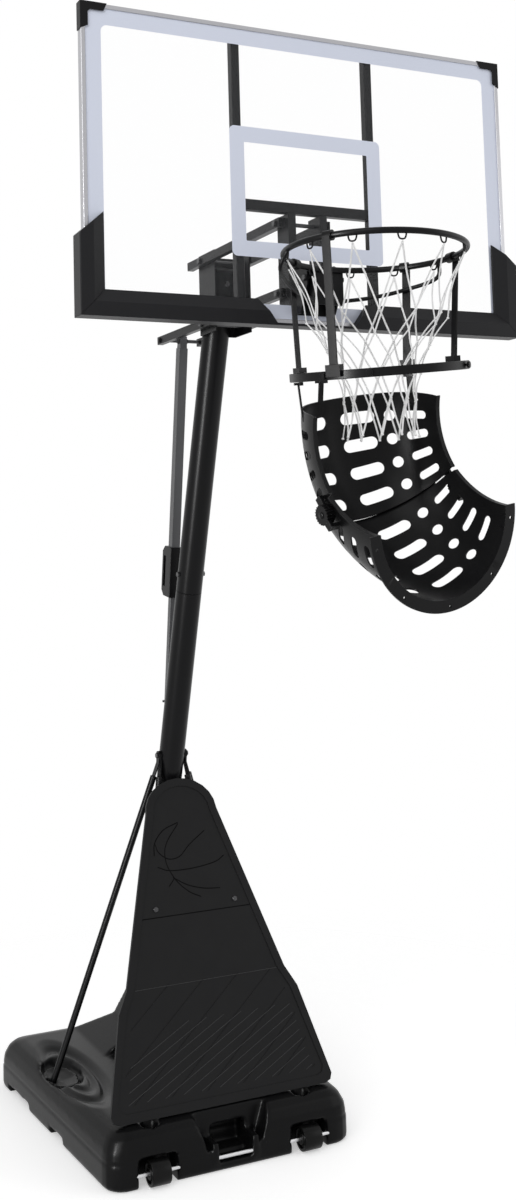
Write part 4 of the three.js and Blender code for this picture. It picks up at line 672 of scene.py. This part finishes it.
# Rim, bracket and braces.
rim = {
    "flangeHalf": 0.044,
    "plate": 0.005,
    "flangeBottom": 0.096,
    "flangeShort": 0.0557,   # how far the flange ends before the board
    "pinDrop": 0.0185,
    "brace": 0.0055,
    "braceFoot": (0.005, 0.011),
    "hooks": 12,
    "hookWire": 0.0022,
    "hookHalf": 0.011,
    "hookDrop": 0.02,
    "braceBends": [(60, 0.985, -4.8), (38, 0.99, -3.9), (17, 1.056, -2.6), (11, 1, -0.3)],
}


def ringPoint(radius, angle, height):
    return rimCentre + Vector((radius * math.cos(angle), radius * math.sin(angle), height))


def makeRim(values):
    shape = bmesh.new()
    major = stand["rimRadius"]
    minor = stand["rimRod"] / 2
    rings = []
    for k in range(144):
        angle = 2 * math.pi * k / 144
        rings.append([ringPoint(major + minor * math.cos(2 * math.pi * i / 20), angle,
                                minor * math.sin(2 * math.pi * i / 20)) for i in range(20)])
    tubeRings(shape, rings, True)
    for k in range(values["hooks"]):
        angle = (k + 0.5) * 2 * math.pi / values["hooks"]
        radius = major - minor / 2
        side = values["hookHalf"] / radius
        drop = values["hookDrop"]
        bends = [(-1, minor * 0.6), (-0.8, drop * 0.75), (-0.4, drop),
                 (0.4, drop), (0.8, drop * 0.75), (1, minor * 0.6)]
        loop = [ringPoint(radius, angle + side * turn, -low) for turn, low in bends]
        sweep(shape, smoothLine(loop, 5), values["hookWire"], 8)
    half = values["flangeHalf"]
    plate = values["plate"]
    nose = major - minor
    back = boardFront - rimCentre.y - values["flangeShort"]
    boxShape(shape, rimCentre + Vector((-half, nose, -plate * 1.4)),
             rimCentre + Vector((half, back, plate * 0.6)))
    foot = nose + stand["rimRod"] * 0.6
    for side in (-1, 1):
        outline = [(nose + minor * 2, -0.001), (back, -0.001), (back, -values["pinDrop"] * 1.6),
                   (nose + minor * 3.2, -values["flangeBottom"]), (foot, -values["flangeBottom"])]
        prism(shape, outline, side * (half - plate), side * half,
              lambda a, b, d: rimCentre + Vector((d, a, b)))
        line = [rimCentre + Vector((side * (half - plate * 1.5), foot + values["braceFoot"][0],
                                    -values["flangeBottom"] + values["braceFoot"][1]))]
        for angle, reach, drop in values["braceBends"]:
            around = math.radians(angle if side > 0 else 180 - angle)
            line.append(ringPoint(major * reach, around, stand["rimRod"] * drop))
        sweep(shape, smoothLine(line, 10), values["brace"], 14)
    boxShape(shape, rimCentre + Vector((-half, foot, -values["flangeBottom"])),
             rimCentre + Vector((half, foot + plate, -plate / 2)))
    mesh = meshFrom(finishShape(shape), "rimFine")
    place("rimFine", mesh, "rim", "coated_steel", ["rim_ring"])


makeRim(rim)
refined("rim_bracket", 0.0016, 3)
for k in range(1, 5):
    refined("hanger_%d" % k, 0.0015, 2, 40)
print("rim made")


# Carrier ring, with the thumb screws through its wall.
carrier = {
    "below": 0.3098,
    "roll": -5.8,
    "pitch": 5.2,
    "radius": 0.222,
    "wall": 0.010,
    "height": 0.022,
    "lip": 0.012,
    "lipThickness": 0.006,
    "ease": 0.0015,
    "screws": [-158, -128, -52, 25, 100],
    "screwProfile": [(0, -0.002), (0.0032, -0.002), (0.0032, 0.003), (0.0078, 0.0035), (0.0085, 0.0045),
                     (0.0085, 0.009), (0.0076, 0.0102), (0, 0.0106)],
}
carrierFrame = (Matrix.Translation(rimCentre - Vector((0, 0, carrier["below"])))
                @ Matrix.Rotation(math.radians(carrier["roll"]), 4, "Y")
                @ Matrix.Rotation(math.radians(carrier["pitch"]), 4, "X"))


def makeCarrier(values):
    outer = values["radius"] + values["wall"] / 2
    inner = values["radius"] - values["wall"] / 2
    low = -values["height"] / 2
    high = values["height"] / 2
    lip = inner - values["lip"]
    ease = values["ease"]
    profile = [(lip + ease, low), (outer - ease, low), (outer, low + ease), (outer, high - ease),
               (outer - ease, high), (inner + ease, high), (inner, high - ease),
               (inner, low + values["lipThickness"]), (lip + ease, low + values["lipThickness"]),
               (lip, low + values["lipThickness"] - ease), (lip, low + ease)]
    shape = bmesh.new()
    turned(shape, profile, carrierFrame.translation, carrierFrame.to_3x3() @ Vector((0, 0, 1)), 144)
    place("carrierFine", meshFrom(finishShape(shape), "carrierFine"), "rim", "chute_plastic",
          ["carrier_ring"])
    shape = bmesh.new()
    for angle in values["screws"]:
        out = Vector((math.cos(math.radians(angle)), math.sin(math.radians(angle)), 0))
        turned(shape, values["screwProfile"], carrierFrame @ (out * outer), carrierFrame.to_3x3() @ out, 24)
    place("carrierScrews", meshFrom(finishShape(shape), "carrierScrews"), "rim", "chute_plastic")


makeCarrier(carrier)
print("carrier made")


# Net: twelve columns of knots joined by cords.
net = {
    "columns": 12,
    "length": 0.478,
    "cord": 0.0019,
    "knot": 0.0042,
    "topDrop": 0.0258,
    "rows": [0, 0.34, 0.5, 0.65, 0.8, 1],
    "radii": [1, 0.78, 0.58, 0.46, 0.41, 0.42],
    "sag": 0.006,
}


def netKnot(row, k):
    reach = stand["rimRadius"] - stand["rimRod"] / 4
    step = 2 * math.pi / net["columns"]
    angle = (k + 0.5 + (0.5 if row % 2 else 0)) * step
    height = -net["topDrop"] - net["rows"][row] * (net["length"] - net["topDrop"])
    return ringPoint(reach * net["radii"][row], angle, height)


def makeNet(values):
    shape = bmesh.new()
    rows = len(values["rows"])
    for row in range(rows):
        for k in range(values["columns"]):
            knot = netKnot(row, k)
            size = values["knot"] * (0.75 if row == 0 else 1)
            start = len(shape.verts)
            bmesh.ops.create_icosphere(shape, subdivisions=1, radius=size,
                                       matrix=Matrix.Translation(knot))
            shape.verts.ensure_lookup_table()
            for vert in shape.verts[start:]:
                vert.co.z = knot.z + (vert.co.z - knot.z) * 0.8
            if row + 1 == rows:
                continue
            for side in (0, 1):
                other = k + side - (0 if row % 2 else 1)
                end = netKnot(row + 1, other % values["columns"])
                middle = (knot + end) / 2
                inward = Vector((rimCentre.x - middle.x, rimCentre.y - middle.y, 0)).normalized()
                bow = values["sag"] * (1.6 if row == 0 else 0.7)
                line = smoothLine([knot, middle + inward * bow, end], 6)
                for shift in (-0.5, 0.5):
                    offset = inward.cross(Vector((0, 0, 1))) * values["cord"] * shift
                    sweep(shape, [p + offset for p in line], values["cord"] * 0.72, 6)
    place("netCords", meshFrom(shape, "netCords"), "rim", "net_cord", ["net"], sharp=60)


makeNet(net)
print("net made")


# Return chute: two slotted half pipes that bend steadily, the lower one wider than the upper.
chute = {
    "roll": -10,
    "turn": 5.24,
    "bendBack": -0.0237,
    "bendBelow": 0.3309,
    "wall": 0.004,
    "lipWidth": 0.008,
    "halfAngle": 90,
    "facets": 72,
    "rows": 14,
    "seamAt": -0.070,
    "seam": 0.0015,
    "overlap": 0.014,
    "overlapReach": 0.080,
    "tilt": 12.5,
    "hingeBack": 0.0382,
    "hingeBelow": 0.3279,
    "outlet": 0.140,
    "flange": 0.032,
    "hole": 0.004,
    "holes": 5,
}
upperHalf = {
    "lean": 48.2,
    "curve": 0.2084,
    "radius": 0.194,
    "top": -0.2666,
    "slant": 0.022,
    "slotStart": -0.095,
    "slotPitch": -0.0395,
}
lowerHalf = {
    "lean": 49.9,
    "curve": 0.2707,
    "radius": 0.1995,
    "slotStart": -0.0469,
    "slotPitch": 0.0445,
}
slots = {
    "rows": 4,
    "depth": 0.024,
    "long": (21.2, 0.096, 0.033),
    "round": (47.2, 0.0303, 0.030),
    "side": (68.75, 0.066, 0.022),
}
chuteFrame = (Matrix.Translation(rimCentre - Vector((0, 0, carrier["below"])))
              @ Matrix.Rotation(math.radians(chute["roll"]), 4, "Y")
              @ Matrix.Rotation(math.radians(chute["turn"]), 4, "Z"))


# The axis of a half at a distance from its bend, its direction and the way to the front.
def chuteLine(half, distance):
    first = math.radians(half["lean"])
    lean = first + distance / half["curve"]
    centre = Vector((0, chute["bendBack"] + (math.cos(lean) - math.cos(first)) * half["curve"],
                     -chute["bendBelow"] - (math.sin(lean) - math.sin(first)) * half["curve"]))
    along = Vector((0, -math.sin(lean), -math.cos(lean)))
    return centre, along, Vector((0, along.z, -along.y))


def chutePlace(half, distance, angle):
    turn = math.radians(angle)
    centre, along, forward = chuteLine(half, distance)
    return centre, along, Vector((math.sin(turn), 0, 0)) - forward * math.cos(turn)


# One cross-section as [inner, outer] pairs, its rims turned outwards.
def troughRow(half, distance, slant, wall, lipWidth):
    def placeAt(angle, depth):
        centre, along, outward = chutePlace(half, distance + slant * math.cos(math.radians(angle)), angle)
        return centre + outward * (half["radius"] + depth)

    facets = chute["facets"]
    inset = math.degrees(chute["wall"] / half["radius"]) if lipWidth else 0
    row = []
    for k in range(facets + 1):
        angle = (chute["halfAngle"] - inset) * (2 * k / facets - 1)
        row.append((placeAt(angle, 0), placeAt(angle, wall)))
    if lipWidth:
        for side in (-1, 1):
            rimAngle = side * chute["halfAngle"]
            root = side * (chute["halfAngle"] - inset)
            corner = (placeAt(rimAngle, 0), placeAt(root, wall))
            edge = (placeAt(rimAngle, wall + lipWidth), placeAt(root, wall + lipWidth))
            if side < 0:
                row = [edge, corner] + row
            else:
                row = row + [corner, edge]
    return row


def trough(half, start, end, slant=0.0, wall=chute["wall"], lipWidth=0.0, rows=chute["rows"]):
    shares = [k / rows for k in range(rows + 1)]
    return closedSheet([troughRow(half, start + (end - start) * share, slant * (1 - share), wall, lipWidth)
                        for share in shares])


def closedSheet(rows):
    shape = bmesh.new()
    count = len(rows[0])
    vertices = [point for row in rows for pair in row for point in pair]

    def inner(k, i):
        return 2 * (k * count + i)

    def outer(k, i):
        return inner(k, i) + 1

    faces = []
    for k in range(len(rows) - 1):
        for i in range(count - 1):
            faces.append((inner(k, i), inner(k, i + 1), inner(k + 1, i + 1), inner(k + 1, i)))
            faces.append((outer(k, i), outer(k + 1, i), outer(k + 1, i + 1), outer(k, i + 1)))
        for i in (0, count - 1):
            faces.append((inner(k, i), outer(k, i), outer(k + 1, i), inner(k + 1, i)))
    for k in (0, len(rows) - 1):
        for i in range(count - 1):
            faces.append((inner(k, i), outer(k, i), outer(k, i + 1), inner(k, i + 1)))
    addFaces(shape, vertices, faces)
    return finishShape(shape)


def slotCutters(half):
    shape = bmesh.new()
    for row in range(slots["rows"]):
        distance = half["slotStart"] + half["slotPitch"] * row
        for key in ("long", "round", "side"):
            angle, length, width = slots[key]
            for side in (-1, 1):
                centre, along, outward = chutePlace(half, distance, side * angle)
                across = outward.cross(along).normalized()
                down = outward.cross(across)
                middle = centre + outward * half["radius"]
                straight = (length - width) / 2
                outline = (arc((straight, 0), width / 2, -90, 90, 12)
                           + arc((-straight, 0), width / 2, 90, 270, 12))
                prism(shape, outline, -slots["depth"], slots["depth"],
                      lambda a, b, d: middle + across * a + down * b + outward * d)
    return meshFrom(finishShape(shape), "slotCutters")


hinge = Vector((0, chute["hingeBack"], -chute["hingeBelow"]))
seamCentre, seamAlong, seamForward = chuteLine(upperHalf, chute["seamAt"])


# What lies above the seam and in front of the nested wall, turned about the hinge.
def seamBlock(turn):
    size = 1.2
    shape = bmesh.new()
    boxShape(shape, (-size / 2, chute["overlapReach"] - size, -chute["seam"]),
             (size / 2, chute["overlapReach"], size - chute["seam"]))
    mesh = meshFrom(shape, "seamBlock")
    seamFrame = Matrix((Vector((1, 0, 0)), -seamForward, -seamAlong)).transposed().to_4x4()
    seamFrame.translation = seamCentre
    spin = (Matrix.Translation(hinge) @ Matrix.Rotation(math.radians(turn), 4, "X")
            @ Matrix.Translation(-hinge))
    mesh.transform(spin @ seamFrame)
    return mesh


def framedBox(shape, frame, size, ease=0.0012):
    wide, deep, tall = (value / 2 for value in size)
    outline = [(wide - ease, -deep), (wide, ease - deep), (wide, deep - ease), (wide - ease, deep),
               (ease - wide, deep), (-wide, deep - ease), (-wide, ease - deep), (ease - wide, -deep)]
    prism(shape, outline, -tall, tall, lambda a, b, d: frame @ Vector((a, b, d)))


def axesFrame(x, y, z, origin):
    frame = Matrix((x, y, z)).transposed().to_4x4()
    frame.translation = origin
    return frame


# Toothed knuckles and the arms that tie them to their half's wall.
knuckle = {
    "radius": 0.026,
    "thickness": 0.012,
    "teeth": 20,
    "toothDepth": 0.0025,
    "gap": 0.0006,
    "upperReach": 0.044,
    "lowerReach": 0.038,
    "rivetProfile": [(0, 0), (0.0085, 0), (0.0085, 0.002), (0.0065, 0.0035), (0, 0.0038)],
}


def wallX(half, point):
    centre, along, forward = chuteLine(half, chute["seamAt"])
    distance = chute["seamAt"] + along.dot(point - centre)
    centre, along, forward = chuteLine(half, distance)
    return math.sqrt(half["radius"] ** 2 - forward.dot(point - centre) ** 2) + chute["wall"] / 4


def makeKnuckles(name, half, body, out, way, reach):
    shape = bmesh.new()
    thick = knuckle["thickness"]
    along = chuteLine(half, chute["seamAt"])[1] * way
    for side in (-1, 1):
        outline = []
        for k in range(knuckle["teeth"] * 4):
            radius = knuckle["radius"] - (knuckle["toothDepth"] if k % 4 in (2, 3) else 0)
            turn = k * math.pi / (knuckle["teeth"] * 2)
            outline.append((hinge.y + radius * math.cos(turn), hinge.z + radius * math.sin(turn)))
        prism(shape, outline, side * (out - thick / 2), side * (out + thick / 2),
              lambda a, b, d: chuteFrame @ Vector((d, a, b)))
        hub = hinge + Vector((side * out, 0, 0))
        elbow = hub + along * reach
        frame = axesFrame(Vector((1, 0, 0)), Vector((1, 0, 0)).cross(along) * -1, along, (hub + elbow) / 2)
        framedBox(shape, chuteFrame @ frame, (thick * 0.9, knuckle["radius"] * 0.8, reach + thick * 0.9))
        inner = wallX(half, elbow)
        middle = Vector((side * (out + inner) / 2, elbow.y, elbow.z))
        frame = axesFrame(Vector((1, 0, 0)), Vector((1, 0, 0)).cross(along) * -1, along, middle)
        framedBox(shape, chuteFrame @ frame, (out - inner, thick * 1.4, thick * 0.9))
        if half is lowerHalf:
            start = chuteFrame @ (hub + Vector((side * thick / 2, 0, 0)))
            axis = (chuteFrame.to_3x3() @ Vector((side, 0, 0))).normalized()
            turned(shape, knuckle["rivetProfile"], start, axis, 24)
    place(name, meshFrom(finishShape(shape), name), body, "chute_plastic")


# Straps from the upper half's edge to shoes that ride inside the carrier.
strap = {
    "angles": [-66, -13, 66],
    "width": 0.018,
    "thickness": 0.005,
    "shoe": 0.030,
    "shoeHeight": 0.020,
    "shoeGap": 0.0008,
    "soleDepth": 0.020,
    "soleHeight": 0.0065,
    "soleBelow": 0.0045,
    "soleOut": 0.002,
}


def makeStraps(values):
    shape = bmesh.new()
    back = carrierFrame.inverted() @ chuteFrame
    inner = carrier["radius"] - carrier["wall"] / 2 - carrier["lip"]
    for angle in values["angles"]:
        distance = upperHalf["top"] + upperHalf["slant"] * math.cos(math.radians(angle)) + values["width"]
        centre, along, outward = chutePlace(upperHalf, distance, angle)
        foot = back @ (centre + outward * (upperHalf["radius"] + chute["wall"] / 2))
        around = math.atan2(foot.y, foot.x)
        out = Vector((math.cos(around), math.sin(around), 0))
        tangent = Vector((-out.y, out.x, 0))
        head = out * (inner + carrier["lip"] * 0.1)
        head -= Vector((0, 0, carrier["height"] / 2 + values["thickness"]))
        z = (head - foot).normalized()
        y = z.cross(out).normalized()
        frame = axesFrame(y.cross(z), y, z, (foot + head) / 2)
        framedBox(shape, carrierFrame @ frame,
                  (values["thickness"], values["width"], (head - foot).length + values["thickness"]))
        depth = values["thickness"] * 2
        upright = Vector((0, 0, 1))
        middle = (out * (inner - depth / 2 - values["shoeGap"])
                  - upright * (carrier["height"] / 2 - values["shoeGap"]))
        framedBox(shape, carrierFrame @ axesFrame(out, tangent, upright, middle),
                  (depth, values["shoe"], values["shoeHeight"]), 0.002)
        low = out * (inner + values["soleOut"]) - upright * (carrier["height"] / 2 + values["soleBelow"])
        framedBox(shape, carrierFrame @ axesFrame(out, tangent, upright, low),
                  (values["soleDepth"], values["shoe"] * 0.96, values["soleHeight"]), 0.0015)
    place("chuteStraps", meshFrom(finishShape(shape), "chuteStraps"), "upper_chute", "chute_plastic")


def makeUpperChute():
    mesh = meshFrom(trough(upperHalf, upperHalf["top"], chute["seamAt"], upperHalf["slant"],
                           lipWidth=chute["lipWidth"]), "upperChute")
    mesh = carved(mesh, slotCutters(upperHalf))
    mesh.transform(chuteFrame)
    place("upperChuteShell", mesh, "upper_chute", "chute_plastic", ["chute_upper"], sharp=40)


def makeLowerChute():
    mesh = meshFrom(trough(lowerHalf, chute["seamAt"] - chute["overlap"], chute["outlet"],
                           lipWidth=chute["lipWidth"]), "lowerChute")
    mesh = carved(mesh, seamBlock(0))
    mesh = carved(mesh, seamBlock(chute["tilt"]))
    flange = trough(lowerHalf, chute["outlet"] - chute["wall"], chute["outlet"], wall=chute["flange"], rows=1)
    mesh = carved(mesh, meshFrom(flange, "flange"), "UNION")
    mesh = carved(mesh, slotCutters(lowerHalf))
    holes = bmesh.new()
    for k in range(chute["holes"]):
        angle = chute["halfAngle"] * 0.9 * (2 * k / (chute["holes"] - 1) - 1)
        centre, along, outward = chutePlace(lowerHalf, chute["outlet"], angle)
        middle = centre + outward * (lowerHalf["radius"] + (chute["wall"] + chute["flange"]) / 2)
        profile = [(0, -0.01), (chute["hole"], -0.01), (chute["hole"], 0.01), (0, 0.01)]
        turned(holes, profile, middle, along, 20)
    mesh = carved(mesh, meshFrom(finishShape(holes), "flangeHoles"))
    mesh.transform(chuteFrame)
    place("lowerChuteShell", mesh, "lower_chute", "chute_plastic", ["chute_lower"], sharp=40)


makeUpperChute()
makeLowerChute()
innerKnuckle = lowerHalf["radius"] + chute["wall"] + knuckle["thickness"] / 2 + knuckle["gap"]
makeKnuckles("upperKnuckles", upperHalf, "upper_chute", innerKnuckle, -1, knuckle["upperReach"])
outerKnuckle = innerKnuckle + knuckle["thickness"] + knuckle["gap"]
makeKnuckles("lowerKnuckles", lowerHalf, "lower_chute", outerKnuckle, 1, knuckle["lowerReach"])
makeStraps(strap)
print("chute made")


# Floor, light and backdrop.
studio = {
    "floorTone": 0.92,
    "floorLift": 0.42,
    "floorFade": (0.9, 2.6),
    "worldStrength": 0.55,
    "keySize": 3.0,
    "keyPower": 70,
    "keyPlace": (-3.2, -3.6, 4.6),
    "fillSize": 3.0,
    "fillPower": 30,
    "fillPlace": (3.6, -3.0, 2.6),
    "stripSize": (0.3, 3.2),
    "stripPower": 300,
    "stripPlace": (-3.9, -2.4, 1.7),
}


# One where the camera, a reflection or glass looks at a surface, none for the light that it sends on.
def seenRays(tree):
    path = tree.nodes.new("ShaderNodeLightPath")
    first = tree.nodes.new("ShaderNodeMath")
    first.operation = "MAXIMUM"
    second = tree.nodes.new("ShaderNodeMath")
    second.operation = "MAXIMUM"
    tree.links.new(path.outputs["Is Camera Ray"], first.inputs[0])
    tree.links.new(path.outputs["Is Glossy Ray"], first.inputs[1])
    tree.links.new(first.outputs[0], second.inputs[0])
    tree.links.new(path.outputs["Is Transmission Ray"], second.inputs[1])
    return second.outputs[0]


def whiteWhereSeen(tree, shaded, seen):
    mix = tree.nodes.new("ShaderNodeMixShader")
    tree.links.new(seenRays(tree), mix.inputs[0])
    tree.links.new(shaded, mix.inputs[1])
    tree.links.new(seen, mix.inputs[2])
    return mix.outputs[0]


def makeWorld(values):
    world = bpy.data.worlds.new("studioWorld")
    bpy.context.scene.world = world
    world.use_nodes = True
    tree = world.node_tree
    lighting = tree.nodes["Background"]
    lighting.inputs["Strength"].default_value = values["worldStrength"]
    lighting.inputs["Color"].default_value = (1, 1, 1, 1)
    seen = tree.nodes.new("ShaderNodeBackground")
    seen.inputs["Color"].default_value = (1, 1, 1, 1)
    output = tree.nodes["World Output"]
    tree.links.new(whiteWhereSeen(tree, lighting.outputs[0], seen.outputs[0]), output.inputs["Surface"])


def makeFloor(values):
    shape = bmesh.new()
    bmesh.ops.create_grid(shape, x_segments=8, y_segments=8, size=14)
    mesh = meshFrom(shape, "floor")
    material = bpy.data.materials.new("paleFloor")
    material.use_nodes = True
    tree = material.node_tree
    shader = tree.nodes["Principled BSDF"]
    shader.inputs["Base Color"].default_value = (*[values["floorTone"]] * 3, 1)
    shader.inputs["Roughness"].default_value = 0.9
    shader.inputs["Specular IOR Level"].default_value = 0
    shader.inputs["Emission Color"].default_value = (1, 1, 1, 1)
    lift = tree.nodes.new("ShaderNodeMath")
    lift.operation = "MULTIPLY"
    lift.inputs[1].default_value = values["floorLift"]
    tree.links.new(seenRays(tree), lift.inputs[0])
    tree.links.new(lift.outputs[0], shader.inputs["Emission Strength"])
    coords = tree.nodes.new("ShaderNodeTexCoord")
    reach = tree.nodes.new("ShaderNodeVectorMath")
    reach.operation = "LENGTH"
    tree.links.new(coords.outputs["Object"], reach.inputs[0])
    fade = tree.nodes.new("ShaderNodeMapRange")
    for socket, value in zip(("From Min", "From Max", "To Min", "To Max"), (*values["floorFade"], 1, 0)):
        fade.inputs[socket].default_value = value
    tree.links.new(reach.outputs["Value"], fade.inputs["Value"])
    tree.links.new(fade.outputs["Result"], shader.inputs["Alpha"])
    mesh.materials.append(material)
    obj = bpy.data.objects.new("floor", mesh)
    rootCollection.objects.link(obj)


def addArea(name, place3, size, power, target=(0, -0.6, 1.3)):
    data = bpy.data.lights.new(name, "AREA")
    data.size = size
    data.energy = power
    obj = bpy.data.objects.new(name, data)
    obj.location = place3
    obj.rotation_euler = (Vector(target) - Vector(place3)).to_track_quat("-Z", "Y").to_euler()
    rootCollection.objects.link(obj)
    return obj


makeWorld(studio)
makeFloor(studio)
addArea("key", studio["keyPlace"], studio["keySize"], studio["keyPower"])
addArea("fill", studio["fillPlace"], studio["fillSize"], studio["fillPower"])
strip = addArea("strip", studio["stripPlace"], studio["stripSize"][0], studio["stripPower"])
strip.data.shape = "RECTANGLE"
strip.data.size_y = studio["stripSize"][1]
strip.visible_diffuse = False   # highlights only: its light would whiten the board
bpy.context.scene.view_settings.view_transform = "Standard"
print("stage made")
